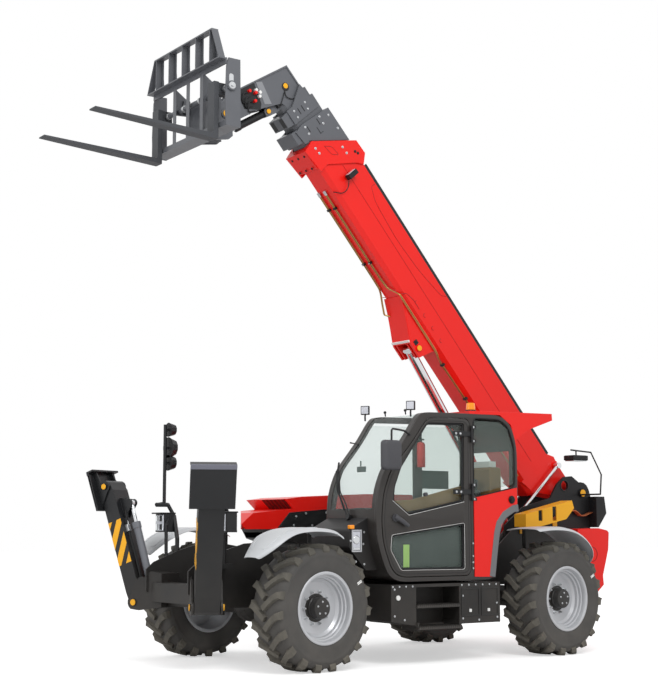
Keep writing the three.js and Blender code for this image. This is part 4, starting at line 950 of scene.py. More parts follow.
    def lift_bracket(self) -> None:
        """Make the pin ends, the web and its lip at the lift cylinder's top, and the pins' keepers."""
        pins, keepers = self.shape(), self.shape()
        for side in BOTH:
            y = side * (self.half + 12)
            pins.rod((2645, y, -738), (2645, y + side * 6, -738), 30, sides=28)
            pins.rod((436, side * 176, -30), (436, side * 182, -30), 26, sides=24)
            y = side * (self.half - 4)
            keepers.box((2690, y - 6, -750), (2740, y + 6, -700))
            keepers.bolt((2715, y + side * 5, -722), (0, side, 0), 8)
        pins.finish("boom_pin_ends", YELLOW, "boom", bevel=2)
        web = [(3190, -550), (3046, -612), (2896, -692), (2744, -782), (2752, -794), (2905, -706)]
        web += [(3050, -628), (3215, -550)]
        self.shape().plate(web, -152, 152).finish("bracket_web", RED, "boom", bevel=3)
        lip = self.shape().box((2764, -150, -792), (2790, 150, -778))
        lip.finish("bracket_lip", WHITE, "boom", bevel=2)
        keepers.finish("boom_pin_keepers", BLACK, "boom")

    def inner_slots(self) -> None:
        """Make the slots in the second and third sections' collars."""
        second, third = self.shape(), self.shape()
        for side in BOTH:
            y = side * self.second_half
            for t in (-240, -400):
                second.box((5200, y - 6, t - 5), (5270, y + 1.5, t + 5))
            second.box((5120, y - 6, -300), (5200, y + 1.5, -292))
            second.box((5120, y - 6, -300), (5126, y + 1.5, -250))
            y = side * self.third_half
            for t in (-300, -360):
                third.box((5405, y - 6, t - 5), (5475, y + 1.5, t + 5))
        second.finish("second_slots", BLACK, "boom_second")
        third.finish("third_slots", BLACK, "boom_third")

    def nose_face(self) -> None:
        """Make the seam, the dark patch and the pin's disc on the boom's nose."""
        seam, patch, disc, surround = (self.shape() for _ in range(4))
        seam_line = [(5711, -657), (5667, -583), (5909, -534), (5945, -600)]
        patch_line = [(5960, -623), (5990, -862), (5800, -900), (5693, -740), (5735, -690)]
        for side in BOTH:
            y = side * self.nose_half
            skin = sorted((y, y + side * 3))
            seam.plate(seam_line, *skin)
            patch.plate(patch_line, *skin)
            disc.rod((5729, y, -310), (5729, y + side * 9, -310), 28, sides=28)
            surround.rod((5722, y, -316), (5722, y + side * 5, -316), 44, sides=28)
        seam.finish("nose_seam", PALE_GREY, "boom_nose")
        patch.finish("nose_patch", BLACK, "boom_nose")
        disc.finish("nose_pin_disc", YELLOW, "boom_nose", bevel=3)
        surround.finish("nose_pin_surround", BLACK, "boom_nose", bevel=2)

    def inner_bolts(self) -> None:
        """Make the bolts on the inner sections' collars and on the nose."""
        second, third, nose = (self.shape() for _ in range(3))
        second_places = [(5268, -194), (5187, -198), (5276, -424), (5198, -428), (5223, -84), (5050, -70)]
        third_places = [(5477, -237), (5404, -249), (5474, -415), (5400, -418)]
        pin_s, _, pin_t = TILT_PIN
        for side in BOTH:
            second.bolts(at_y(second_places, side * self.second_half), (0, side, 0), 10, 7)
            third.bolts(at_y(third_places, side * self.third_half), (0, side, 0), 9, 7)
            y = side * self.nose_half
            nose.bolt((5600, y, -200), (0, side, 0), 9, 7)
            nose.rod((pin_s, y, pin_t), (pin_s, y + side * 8, pin_t), 40, sides=28)
        second.finish("second_bolts", ZINC, "boom_second")
        third.finish("third_bolts", ZINC, "boom_third")
        nose.finish("nose_bolts", ZINC, "boom_nose")

    def wear_blocks(self) -> None:
        """Make the blocks that each inner section slides on."""
        places = (("second", 5170, -575, 100), ("third", 5380, -560, 80), ("nose", 5590, -500, 60))
        for name, s, t, y in places:
            blocks = self.shape()
            for side in BOTH:
                blocks.box((s, side * y - 34, t - 26), (s + 110, side * y + 34, t + 20))
            blocks.finish(f"{name}_wear_blocks", BLACK, f"boom_{name}", bevel=4)

    def nose_hydraulics(self) -> None:
        """Make the tilt cylinder's pin ends, and the couplers, caps and hoses on the nose's left side."""
        pins, couplers, caps, hoses = (self.shape() for _ in range(4))
        for side in BOTH:
            pins.rod((5625, side * 66, -640), (5625, side * 74, -640), 24, sides=24)
        pins.finish("tilt_pin_ends", YELLOW, "boom_nose")
        for s, t in ((5915, -742), (5862, -690), (5800, -752)):
            couplers.rod((s, 98, t), (s, 138, t), 17, sides=16)
        for s, t in ((5880, -665), (5838, -640), (5808, -670)):
            caps.rod((s, 98, t), (s, 132, t), 17, sides=16)
        for s in (5915, 5865, 5815):
            hoses.hose([(s, 120, -770), (s + 8, 124, -830), (s - 60, 112, -880), (s - 100, 96, -800)], 7)
        hoses.hose([(5700, 104, -350), (5640, 112, -380), (5580, 108, -330), (5570, 96, -240)], 5)
        hoses.hose([(5690, 104, -360), (5640, 110, -440), (5600, 100, -500)], 5)
        couplers.finish("hydraulic_couplers", RED, "boom_nose", bevel=2)
        caps.finish("coupler_caps", WHITE, "boom_nose", bevel=2)
        hoses.finish("nose_hoses", RUBBER, "boom_nose")

    def build(self) -> None:
        """Make every fitting."""
        self.pipes()
        self.top_lines()
        self.pressings()
        self.collar()
        self.lamp()
        self.wear_pad()
        self.lift_bracket()
        self.inner_slots()
        self.nose_face()
        self.inner_bolts()
        self.wear_blocks()
        self.nose_hydraulics()


# ---- cab ----------------------------------------------------------------------------------------

# Outlines in X and Z, before their corners are rounded.
DOOR_UPPER = [(461, 1428), (656, 1557), (640, 1700), (560, 1890), (380, 2130), (226, 2328), (-250, 2342)]
DOOR_UPPER += [(-238, 1564)]
DOOR_BOTTOM_PANE = [(560, 900), (684, 1090), (672, 1236), (-240, 1352), (-240, 898)]
DOOR_EDGE = [(-325, 838), (560, 838), (665, 900), (765, 1150), (786, 1369), (764, 1620), (684, 1838)]
DOOR_EDGE += [(400, 2140), (240, 2345), (180, 2378), (-325, 2388)]
QUARTER = [(-372, 1606), (-372, 2402), (-730, 2402), (-850, 2330), (-925, 2130), (-930, 1716)]
CAB_OUTLINE = [(-640, 790), (590, 790), (720, 860), (830, 1142), (855, 1369), (835, 1640), (745, 1870)]
CAB_OUTLINE += [(480, 2180), (330, 2400), (260, 2432), (-150, 2441), (-740, 2446), (-890, 2350)]
CAB_OUTLINE += [(-965, 2130), (-965, 1480), (-800, 1405), (-712, 1250)]
RIGHT_PANE = [(-900, 1100), (690, 1100), (790, 1380), (700, 1830), (330, 2374), (-740, 2400), (-880, 2320)]
RIGHT_PANE += [(-905, 2120)]
DOOR_HINGE = (-338, 1150)
HINGES = (1658, 2237)


def fillet(points: Outline, radius: float, steps: int = 6) -> list[tuple[float, float]]:
    """Return a closed outline with its corners rounded.

    Args:
        points: the corners.
        radius: how far from a corner its rounding starts, where the edges are long enough.
        steps: how many stretches each rounding has.

    Returns:
        The rounded outline.
    """
    made = []
    count = len(points)
    for i, corner in enumerate(points):
        here, before, after = Vector(corner), Vector(points[i - 1]), Vector(points[(i + 1) % count])
        reach_in = min(radius, 0.48 * (here - before).length)
        reach_out = min(radius, 0.48 * (after - here).length)
        start = here + (before - here).normalized() * reach_in
        stop = here + (after - here).normalized() * reach_out
        for k in range(steps + 1):
            t = k / steps
            point = start * (1 - t) ** 2 + here * 2 * t * (1 - t) + stop * t**2
            made.append((point.x, point.y))
    return made


def panel(
    name: str,
    outlines: Sequence[Outline],
    span: tuple[float, float],
    finish: Finish,
    body: str,
    replaces: Sequence[str] = (),
) -> bpy.types.Object:
    """Make a flat panel in X and Z with holes in it and rounded edges.

    Args:
        name: the piece's name.
        outlines: the outside, then each hole.
        span: the two values of Y that it lies between.
        finish: its surface.
        body: the body that it moves with.
        replaces: CAD nodes that it stands for.

    Returns:
        The new piece.
    """
    edge = 5.0
    curve = bpy.data.curves.new(name, "CURVE")
    curve.dimensions = "2D"
    curve.fill_mode = "BOTH"
    curve.extrude = (span[1] - span[0]) / 2 - edge
    curve.bevel_depth = edge
    curve.bevel_resolution = 2
    curve.offset = -edge
    for outline in outlines:
        spline = curve.splines.new("POLY")
        spline.points.add(len(outline) - 1)
        for point, (x, z) in zip(spline.points, outline):
            point.co = (x, z, 0, 1)
        spline.use_cyclic_u = True
    scratch = bpy.data.objects.new(name, curve)
    bpy.context.collection.objects.link(scratch)
    mesh = bpy.data.meshes.new_from_object(scratch.evaluated_get(bpy.context.evaluated_depsgraph_get()))
    bpy.data.objects.remove(scratch)
    bpy.data.curves.remove(curve)
    stand = Matrix.Translation((0, sum(span) / 2, 0)) @ Matrix.Rotation(math.radians(90), 4, "X")
    made = Shape()
    mesh.transform(MACHINE @ stand)
    made.bm.from_mesh(mesh)
    bpy.data.meshes.remove(mesh)
    bmesh.ops.remove_doubles(made.bm, verts=made.bm.verts, dist=0.00005)
    return made.finish(name, finish, body, replaces, angle=40)


class CabShell:
    """The cab's shell: curved sides with openings, a band over the front, roof and rear, and glass."""

    left = (1090, 1130)
    right = (300, 340)
    door = (1094, 1134)
    wall = 40
    corner = 110

    def sides(self) -> None:
        """Make both side frames and the door's leaf."""
        outer = fillet(CAB_OUTLINE, self.corner)
        left = [outer, fillet(inset(DOOR_EDGE, -6), 90), fillet(QUARTER, 70)]
        panel("cab_side_left", left, self.left, CAB_BROWN, "base", ["cab_frame"])
        panel("cab_side_right", [outer, fillet(RIGHT_PANE, 90)], self.right, CAB_BROWN, "base")
        leaf = [fillet(DOOR_EDGE, 85), fillet(DOOR_UPPER, 30), fillet(DOOR_BOTTOM_PANE, 26)]
        panel("door_leaf", leaf, self.door, CAB_BROWN, "door", ["cab_door"])

    def band(self) -> None:
        """Make the band that wraps the cab between its sides, open where the glass is."""
        outer = fillet(CAB_OUTLINE, self.corner)
        inner, near, far = inset(outer, self.wall), inset(outer, 7), inset(outer, 13)
        opaque, posts, glass = Shape(), Shape(), Shape()
        for glazed, start, length in self.runs([self.is_glazed(*point) for point in outer]):
            index = [(start + k) % len(outer) for k in range(length + 1)]
            walls = [(outer[i], inner[i]) for i in index]
            if glazed == "":
                self.strip(opaque, walls, 338, 1092)
                continue
            self.strip(posts, walls, 338, 372)
            self.strip(posts, walls, 1050, 1092)
            if glazed == "front":
                self.strip(glass, [(near[i], far[i]) for i in index], 366, 1056)
        opaque.finish("cab_band", CAB_BROWN, "base", angle=30)
        posts.finish("cab_posts", CAB_BROWN, "base", angle=30)
        glass.finish("windscreen_glass", CLEAR, "base", ["windscreen"], angle=60)

    @staticmethod
    def is_glazed(x: float, z: float) -> str:
        """Return which window a point of the outline lies on: "front", "rear" or none."""
        if (x > 285 and z > 1444) or (x > -170 and z > 2380):
            return "front"
        return "rear" if x < -940 and 1560 < z < 2110 else ""

    @staticmethod
    def runs(kinds: Sequence[str]) -> list[tuple[str, int, int]]:
        """Return the runs of equal values round a ring, as (value, start, length)."""
        count = len(kinds)
        starts = [i for i in range(count) if kinds[i] != kinds[i - 1]]
        stops = [*starts[1:], starts[0] + count]
        return [(kinds[start], start, stop - start) for start, stop in zip(starts, stops)]

    @staticmethod
    def strip(shape: Shape, pairs: Sequence[tuple], y0: float, y1: float) -> None:
        """Skin a strip between two Y values from pairs of outer and inner points."""
        rings = []
        for (x0, z0), (x1, z1) in pairs:
            rings.append([(x0, y0, z0), (x0, y1, z0), (x1, y1, z1), (x1, y0, z1)])
        shape.loft(rings)

    def fittings(self) -> None:
        """Make the box in front of the cab, the door's hinges and the mirror's arm."""
        nose = [(690, 900), (870, 900), (1065, 1110), (1065, 1290), (850, 1400), (690, 1400)]
        front = Shape().plate(fillet(nose, 24), 330, 985).box((-560, 320, 770.5), (520, 480, 800))
        front.finish("cab_front_box", CHASSIS, "base", bevel=5)
        base, door = Shape(), Shape()
        x, y = DOOR_HINGE
        for z in HINGES:
            for foot in (z - 85, z + 56):
                base.rod((x, y, foot), (x, y, foot + 29), 13)
                base.box((x - 62, y - 22, foot), (x, y - 4, foot + 29))
            door.rod((x, y, z - 55), (x, y, z + 55), 13).box((x, y - 18, z - 24), (x + 240, y - 2, z + 24))
        arm = [(430, 1120, 2200), (560, 1200, 2230), (660, 1240, 2236), (770, 1284, 2238), (788, 1290, 2225)]
        base.tube([*arm, (790, 1290, 2120)], 10, 12)
        base.finish("cab_hinge_posts", BLACK, "base", bevel=2)
        door.finish("door_hinges", BLACK, "door", bevel=3)

    def build(self) -> None:
        """Make the whole shell."""
        self.sides()
        self.band()
        self.fittings()


class Cab:
    """The cab's trims, door fittings, lamps, mirrors and inside."""

    left = 1130
    door_face = 1134

    def trims(self) -> None:
        """Make the pale window edges, the black seals and the door's pressed lines."""
        y = self.door_face
        edge = Shape().piping(fillet(DOOR_BOTTOM_PANE, 26), y, 2)
        edge.tube([(660, y, 1562), (461, y, 1424), (-242, y, 1560)], 2, 6)
        edge.finish("door_window_edges", WHITE, "door")
        seal = Shape().piping(fillet(inset(DOOR_UPPER, 10), 26), y - 16, 10, 8)
        seal.piping(fillet(inset(DOOR_BOTTOM_PANE, 10), 22), y - 16, 10, 8)
        seal.piping(fillet(inset(DOOR_EDGE, 26), 80), y - 1, 3)
        seal.finish("door_seals", PLASTIC, "door")
        Shape().piping(fillet(QUARTER, 70), self.left, 6, 8).finish("quarter_seal", PLASTIC, "base")

    def door(self) -> None:
        """Make the door's handle, its knob and the bolts of the hinges and the pillar."""
        y = self.door_face
        grip = Shape().rod((632, y, 1398), (632, y + 22, 1398), 36, sides=28)
        grip.tube([(652, y + 26, 1412), (575, y + 44, 1368), (496, y + 34, 1322)], 24, 14, tip=19)
        grip.rod((259, y - 12, 1626), (259, y + 22, 1626), 20, sides=20)
        grip.finish("door_handle", MIRROR_BACK, "door", bevel=3)
        places = [(x, z) for z in HINGES for x in (-190, -132)]
        Shape().bolts(at_y(places, y + 14), LEFTWARD, 9, 7).finish("door_hinge_bolts", ZINC, "door")
        posts = Shape().bolts([(-366, y + 12, z + up) for z in HINGES for up in (-70, 70)], LEFTWARD, 8, 6)
        posts.bolts([(-345, y + 5, z) for z in (905, 965, 1025, 1150)], LEFTWARD, 7, 6)
        posts.finish("pillar_bolts", ZINC, "base")

    def side_panel(self) -> None:
        """Make the cap on the red panel and the grey arch trim behind it."""
        y = self.left + 10
        cap = Shape().rod((-868, y, 1588), (-868, y + 12, 1588), 40, sides=32)
        cap.rod((-868, y + 12, 1588), (-868, y + 24, 1588), 30, sides=32)
        cap.box((-890, y + 20, 1582), (-846, y + 30, 1594))
        cap.finish("fuel_cap", PLASTIC, "base", bevel=3)
        outer = [(-965, 1470), (-905, 1462), (-790, 1404), (-725, 1330), (-700, 1250), (-665, 1040)]
        outer += [(-632, 812)]
        wide = 74
        rings = []
        for i, (x, z) in enumerate(outer):
            before, after = Vector(outer[max(i - 1, 0)]), Vector(outer[min(i + 1, len(outer) - 1)])
            way = (after - before).normalized() * wide
            x1, z1 = x - way.y, z + way.x
            rings.append([(x, y - 80, z), (x, y + 6, z), (x1, y + 6, z1), (x1, y - 80, z1)])
        Shape().loft(rings).finish("arch_trim", ARCH, "base", bevel=6)

    def roof(self) -> None:
        """Make the work lamps, the beacon and the knobs on the roof's front edge."""
        house, lens = Shape(), Shape()
        for x, y in ((400, 345), (385, 1072)):
            turned = Matrix.Translation((x, y, 0)) @ Matrix.Rotation(math.radians(38), 4, "Z")
            house.frame_of = lens.frame_of = MACHINE @ turned
            house.tube([(-10, 0, 2384), (-6, 0, 2430), (-14, 0, 2452)], 9)
            house.box((-32, -44, 2450), (4, 44, 2540))
            lens.box((2, -36, 2458), (9, 36, 2532))
        house.frame_of = MACHINE
        for y in (560, 890):
            house.tube([(300, y, 2420), (306, y, 2458)], 7).ball((306, y, 2462), 15)
        x, y = -470, 985
        house.rod((x, y, 2440), (x, y, 2496), 54, sides=32).finish("roof_fittings", PLASTIC, "base", bevel=4)
        lens.finish("roof_lamp_lenses", LENS, "base", bevel=2)
        Shape().rod((x, y, 2494), (x, y, 2568), 48, 42, sides=36).finish("beacon", AMBER, "base", bevel=8)

    def mirrors(self) -> None:
        """Make the driver's mirror shell and glass."""
        corners = []
        for x, z, start in ((860, 2090, 0), (720, 2090, 90), (720, 1885, 180), (860, 1885, 270)):
            angles = [math.radians(start + 90 * k / 6) for k in range(7)]
            corners += [(x + 38 * math.cos(a), z + 40 * math.sin(a)) for a in angles]
        profile = ((1256, 4), (1262, 0), (1292, 0), (1312, 6), (1324, 18), (1330, 40))
        rings = [at_y(inset(corners, draw * 0.85), y) for y, draw in profile]
        Shape().loft(rings).finish("cab_mirror_shell", MIRROR_BACK, "base", angle=75)
        Shape().plate(inset(corners, 10), 1255, 1260).finish("cab_mirror_glass", MIRROR, "base")

    def wipers(self) -> None:
        """Make the two wipers on the windscreen."""
        made = Shape()
        for y in (745, 700):
            made.tube([(884, y, 1405), (882, y - 60, 1520), (872, y - 180, 1660), (776, y - 330, 1866)], 7, 8)
        made.tube([(892, 660, 1480), (880, 560, 1640), (816, 440, 1820), (730, 350, 1950)], 10, 6)
        made.rod((868, 722, 1400), (898, 722, 1410), 30).box((860, 690, 1385), (890, 756, 1412))
        made.tube([(560, 308, 2160), (520, 400, 2140), (600, 330, 2000)], 8, 8)
        made.finish("wipers", PLASTIC, "base")

    def front_panel(self) -> None:
        """Make the marker lamp in its frame, the indicator and the bolts on the front's left panel."""
        y = 985
        rim = Shape()
        outer = [(925, 1075), (1040, 1075), (1040, 1285), (925, 1285)]
        for strip in frame_strip(outer, 13):
            rim.plate(strip, y, y + 12)
        rim.finish("marker_frame", SILVER, "base", bevel=2)
        Shape().plate(inset(outer, 16), y, y + 6).finish("marker_lens", LENS, "base", bevel=2)
        indicator = Shape().box((1010, y - 30, 1292), (1066, y + 14, 1330))
        indicator.finish("front_indicator", AMBER, "base", bevel=8)
        bulbs = Shape().rod((985, y + 4, 1190), (985, y + 12, 1190), 44, 36, sides=28)
        bulbs.box((945, y + 4, 1095), (1025, y + 10, 1118)).finish("marker_bulbs", CHROME, "base", bevel=2)
        places = [(890, 960), (990, 985), (900, 1150), (890, 1262), (1050, 1180)]
        Shape().bolts(at_y(places, y), LEFTWARD, 8, 6).finish("front_panel_bolts", ZINC, "base")

    def controls(self) -> None:
        """Make the dash, the steering wheel, the console and the levers."""
        side = [(600, 930), (650, 1100), (612, 1270), (600, 1330), (650, 1366), (748, 1388), (766, 1360)]
        side += [(742, 1150), (672, 915), (585, 835), (560, 835)]
        Shape().plate(side, 346, 1066).finish("dash_shell", DASH, "base", ["dashboard"], bevel=10)
        column = Shape().tube([(640, 720, 960), (520, 720, 1150), (352, 720, 1402)], 44, 20)
        column.box((470, 676, 1230), (560, 764, 1330))
        column.rod((352, 720, 1402), (330, 720, 1424), 58, 40, sides=28)
        column.finish("steering_column", PLASTIC, "base", bevel=5)
        tilt = Matrix.Translation((330, 720, 1422)) @ Matrix.Rotation(math.radians(-55), 4, "Y")
        ring = on_circle(0, 0, 185, [*turns(40), 2 * math.pi])
        wheel = Shape(MACHINE @ tilt).tube([(x, y, 0) for x, y in ring], 15, 12)
        for angle in turns(3):
            (x0, y0), (x1, y1) = (on_circle(0, 0, r, [angle + 0.5])[0] for r in (30, 180))
            wheel.tube([(x0, y0, -8), (x1, y1, 0)], 12, 10)
        wheel.rod((0, 0, -14), (0, 0, 12), 46, 40, sides=28)
        wheel.finish("steering_wheel", PLASTIC, "base", bevel=3)
        console = Shape().box((-380, 346, 840), (340, 446, 1180)).box((100, 352, 1180), (300, 440, 1200))
        console.finish("side_console", DASH, "base", bevel=18)
        levers = Shape().tube([(220, 396, 1195), (232, 398, 1290)], 11, 12, tip=16).ball((234, 398, 1306), 24)
        levers.tube([(140, 396, 1195), (146, 398, 1260)], 8).ball((146, 398, 1268), 17)
        levers.tube([(60, 985, 1320), (80, 1000, 1380)], 10).ball((84, 1002, 1390), 22)
        levers.box((560, 420, 1390), (600, 560, 1500)).finish("cab_levers", PLASTIC, "base", bevel=4)

    def inside(self) -> None:
        """Make the extinguisher, the trims behind the panes, the dark plate behind the lower pane that paints
        the cab's shaded inside, and what stands in the rear.
        """
        red = Shape(MACHINE @ Matrix.Translation((-290, 398, 1930)))
        red.lathe([(0.5, 0), (40, 0), (44, 8), (44, 230), (34, 254), (14, 266), (0.5, 266)], 32, "Z")
        red.finish("extinguisher", RED, "base")
        post = Shape().box((-335, 342, 1105), (-215, 362, 2362))
        post.finish("right_window_post", CAB_BROWN, "base", bevel=6)
        # A dark tinted plate behind the lower pane paints the shaded inside of the cab, over the pane's own
        # green tint.
        tint = Shape().plate(inset(DOOR_BOTTOM_PANE, -12), 1083, 1087)
        tint.finish("lower_pane_tint_painted_shade", TINTED_SHADE_GLASS, "door")
        strip = Shape().plate([(426, 926), (500, 926), (498, 1143), (424, 1143)], 1088, 1089.5)
        strip.finish("pane_strip", STRIP, "door")
        Shape().box((-905, 600, 1480), (-745, 960, 1925)).finish("rear_locker", DASH, "base", bevel=28)
        Shape().box((-880, 640, 1920), (-786, 900, 1986)).finish("rear_papers", WHITE, "base", bevel=3)
        lower = Shape().box((-700, 342, 1710), (-300, 352, 1900))
        lower.finish("right_lower_panel", DARK_TEAL, "base", bevel=4)
        mirror = Shape().box((650, 560, 1850), (662, 700, 1905)).box((662, 620, 1905), (668, 640, 1960))
        mirror.finish("inner_mirror", DARK_TEAL, "base", bevel=4)
        trim = [(-250, 1560), (-250, 1720), (380, 1575), (640, 1560), (640, 1520), (470, 1452)]
        Shape().plate(trim, 1062, 1082).finish("door_inner_trim", DASH, "door", bevel=6)
        head = Shape().rod((-290, 398, 2190), (-290, 398, 2226), 13).box((-330, 388, 2212), (-256, 408, 2228))
        head.finish("extinguisher_head", PLASTIC, "base", bevel=3)

    def build(self) -> None:
        """Make everything on and in the cab."""
        self.trims()
        self.door()
        self.side_panel()
        self.roof()
        self.mirrors()
        self.wipers()
        self.front_panel()
        self.controls()
        self.inside()


class DriverSeat:
    """The driver's seat: crowned cushions with sunken seams on a suspension base."""

    def cushion(
        self, name: str, low: Point, high: Point, crown: float, lean: float = 0.0
    ) -> bpy.types.Object:
        """Return a crowned pad between two corners, its sides drawn in between its corners.

        Args:
            name: the piece's name.
            low: the lowest corner.
            high: the highest corner.
            crown: how far its face swells.
            lean: how far it leans back, in degrees, about its lower rear edge.

        Returns:
            The padded piece.
        """
        size = Vector(high) - Vector(low)
        turn = Matrix.Translation(low) @ Matrix.Rotation(math.radians(-lean), 4, "Y")
        made = Shape(MACHINE @ turn)
        face = min(range(3), key=lambda axis: size[axis])
        a, b = [axis for axis in range(3) if axis != face]
        count = 12
        rings = []
        for k in range(count + 1):
            u = k / count
            drawn = 1 - 0.035 * math.sin(math.pi * u)
            ring = []
            for v, level in self.section():
                place = [0.0, 0.0, 0.0]
                bulge = math.sin(math.pi * u) ** 0.5 * math.sin(math.pi * v) ** 0.5
                place[a] = size[a] * u
                place[b] = size[b] * (0.5 + (v - 0.5) * drawn)
                swell = crown * bulge - 6 * (abs(v - 0.25) < 0.02) - 6 * (abs(v - 0.75) < 0.02)
                round_end = 0.18 * size[face] * (1 - min(1.0, 6 * min(u, 1 - u)))
                place[face] = size[face] * 0.5 + level * (size[face] * 0.5 + swell - round_end)
                ring.append(place)
            rings.append(ring)
        made.loft(rings)
        pad = made.finish(name, CLOTH, "base", angle=80)
        subdivide(pad, 2)
        return pad

    @staticmethod
    def section() -> list[tuple[float, float]]:
        """Return the points round a cushion's section, as shares across it and levels from back to face."""
        across = [0.0, 0.05, 0.15, 0.25, 0.35, 0.5, 0.65, 0.75, 0.85, 0.95, 1.0]
        face = [(v, 0.55 if v in (0.0, 1.0) else 0.92 if v in (0.05, 0.95) else 1.0) for v in across]
        back = [(v, -0.55 if v in (0.0, 1.0) else -0.95) for v in reversed(across)]
        return face + back

    def build(self) -> None:
        """Make the cushions, the armrests and the base."""
        seat = self.cushion("seat_cushion", (-470, 478, 1068), (24, 962, 1168), 6)
        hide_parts("seat")
        self.cushion("seat_back", (-560, 484, 1176), (-462, 956, 1690), 5, 11)
        self.cushion("seat_headrest", (-672, 590, 1672), (-610, 850, 1798), 4, 11)
        self.cushion("seat_armrest", (-430, 988, 1284), (50, 1038, 1326), 2)
        frame_piece = Shape()
        frame_piece.box((-485, 500, 834), (-75, 940, 862)).box((-465, 505, 1020), (-90, 935, 1062))
        frame_piece.box((-455, 985, 1130), (-405, 1000, 1290)).box((-455, 940, 1130), (-405, 1000, 1150))
        frame_piece.finish("seat_frame", PLASTIC, "base", bevel=6)
        bellows = Shape()
        rings = []
        for k in range(13):
            z, out = 862 + 158 * k / 12, 12 if k % 2 else -6
            x0, x1, y0, y1 = -465 - out, -95 + out, 515 - out, 925 + out
            rings.append([(x0, y0, z), (x1, y0, z), (x1, y1, z), (x0, y1, z)])
        bellows.loft(rings).finish("seat_bellows", RUBBER, "base", bevel=3)


# ---- chassis ------------------------------------------------------------------------------------


class SideBox:
    """Bolts, lid frames, latches, the gauge and serrated treads on the box below the cab."""

    def build(self) -> None:
        """Make the box's fittings."""
        y = 1130
        bolts = Shape().bolts([(x, y, 745) for x in range(-650, -180, 90)], LEFTWARD, 7, 5)
        face = [(-660, 560), (-660, 420), (-420, 400), (-210, 420), (-210, 640), (640, 720), (640, 470)]
        bolts.bolts(at_y([*face, (520, 430)], y), LEFTWARD, 8, 6)
        bolts.bolts([(x, y, 745) for x in range(420, 680, 80)], LEFTWARD, 7, 5)
        bolts.finish("side_box_bolts", ZINC, "base")
        white = Shape().rod((600, y, 640), (600, y + 12, 640), 24, sides=28)
        white.box((-560, y, 480), (-530, y + 8, 510)).box((-320, y, 480), (-290, y + 8, 510))
        white.finish("box_gauge_and_latches", WHITE, "base", bevel=2)
        lids = Shape()
        for x0, x1 in ((-675, -450), (-430, -190)):
            for strip in frame_strip([(x0, 440), (x1, 440), (x1, 715), (x0, 715)], 14):
                lids.plate(strip, y, y + 6)
        lids.finish("box_lid_frames", BLACK, "base", bevel=2)
        treads = Shape()
        for z, front in ((563, y + 8), (358, y + 33)):
            for x in range(-150, 370, 26):
                treads.box((x, front - 190, z), (x + 10, front, z + 7))
            for k in range(20):
                x = -160 + 26.5 * k
                treads.plate([(x, z - 22), (x + 24, z - 22), (x + 12, z + 4)], front, front + 5)
        treads.finish("step_treads", STEEL, "base")


class EngineSide:
    """The hood's bolted panels, grilles and intake on the right side, and the pod's louvres."""

    def build(self) -> None:
        """Make the fittings on the hood and the pod."""
        self.hood()
        self.pod()

    @staticmethod
    def hood() -> None:
        """Make what opens with the hood."""
        slats, border, bars = Shape(), Shape(), Shape()
        for z in range(1330, 1571, 30):
            slats.box((-640, -1136, z), (200, -1124, z + 14))
        slats.finish("hood_grille", PLASTIC, "hood", bevel=2)
        for strip in frame_strip([(-670, 1310), (230, 1310), (230, 1610), (-670, 1610)], 22):
            border.plate(strip, -1138, -1126)
        border.finish("hood_grille_frame", BLACK, "hood", bevel=3)
        inner = [(-860, 1310), (1000, 1310), (862, 1462), (409, 1497), (-860, 1540)]
        Shape().plate(inner, -352, -340).finish("hood_side_panel", BLACK, "hood", bevel=3)
        low = [(x, 1330) for x in range(-800, 900, 230)]
        high = [(780, 1420), (660, 1452), (400, 1462), (60, 1480), (-280, 1494), (-620, 1508)]
        Shape().bolts(at_y(low + high, -340), LEFTWARD, 9, 7).finish("hood_bolts", ZINC, "hood")
        # A dark red plate across the intake's opening paints the shadow inside it.
        lip = [(806, 1503), (902, 1594), (899, 1597), (803, 1506)]
        Shape().plate(lip, -820, -390).finish("hood_intake_painted_shadow", INTAKE_PAINTED_SHADOW, "hood")
        # The bars across the intake are in the darker red of painted shade.
        for y in range(-450, -751, -75):
            bars.plate([(809, 1499), (907, 1592), (902, 1596), (804, 1504)], y - 4, y + 4)
        bars.finish("hood_intake_painted_shadow_bars", RED_PAINTED_SHADE, "hood")

    @staticmethod
    def pod() -> None:
        """Make the pod's louvres and the engine's top."""
        louvre = Shape()
        for z in range(620, 951, 55):
            louvre.box((-560, -1138, z), (-60, -1126, z + 30)).box((80, -1138, z), (580, -1126, z + 30))
        louvre.finish("pod_louvres", BLACK, "base", bevel=3)
        engine = Shape().rod((-300, -740, 1100), (-300, -740, 1226), 110, sides=32)
        for x in range(-180, 211, 130):
            engine.box((x, -960, 1100), (x + 90, -840, 1228))
        engine.tube([(-480, -560, 700), (-480, -500, 1100), (-300, -500, 1180), (100, -500, 1180)], 34, 14)
        engine.finish("engine_top", IRON, "base", bevel=6)


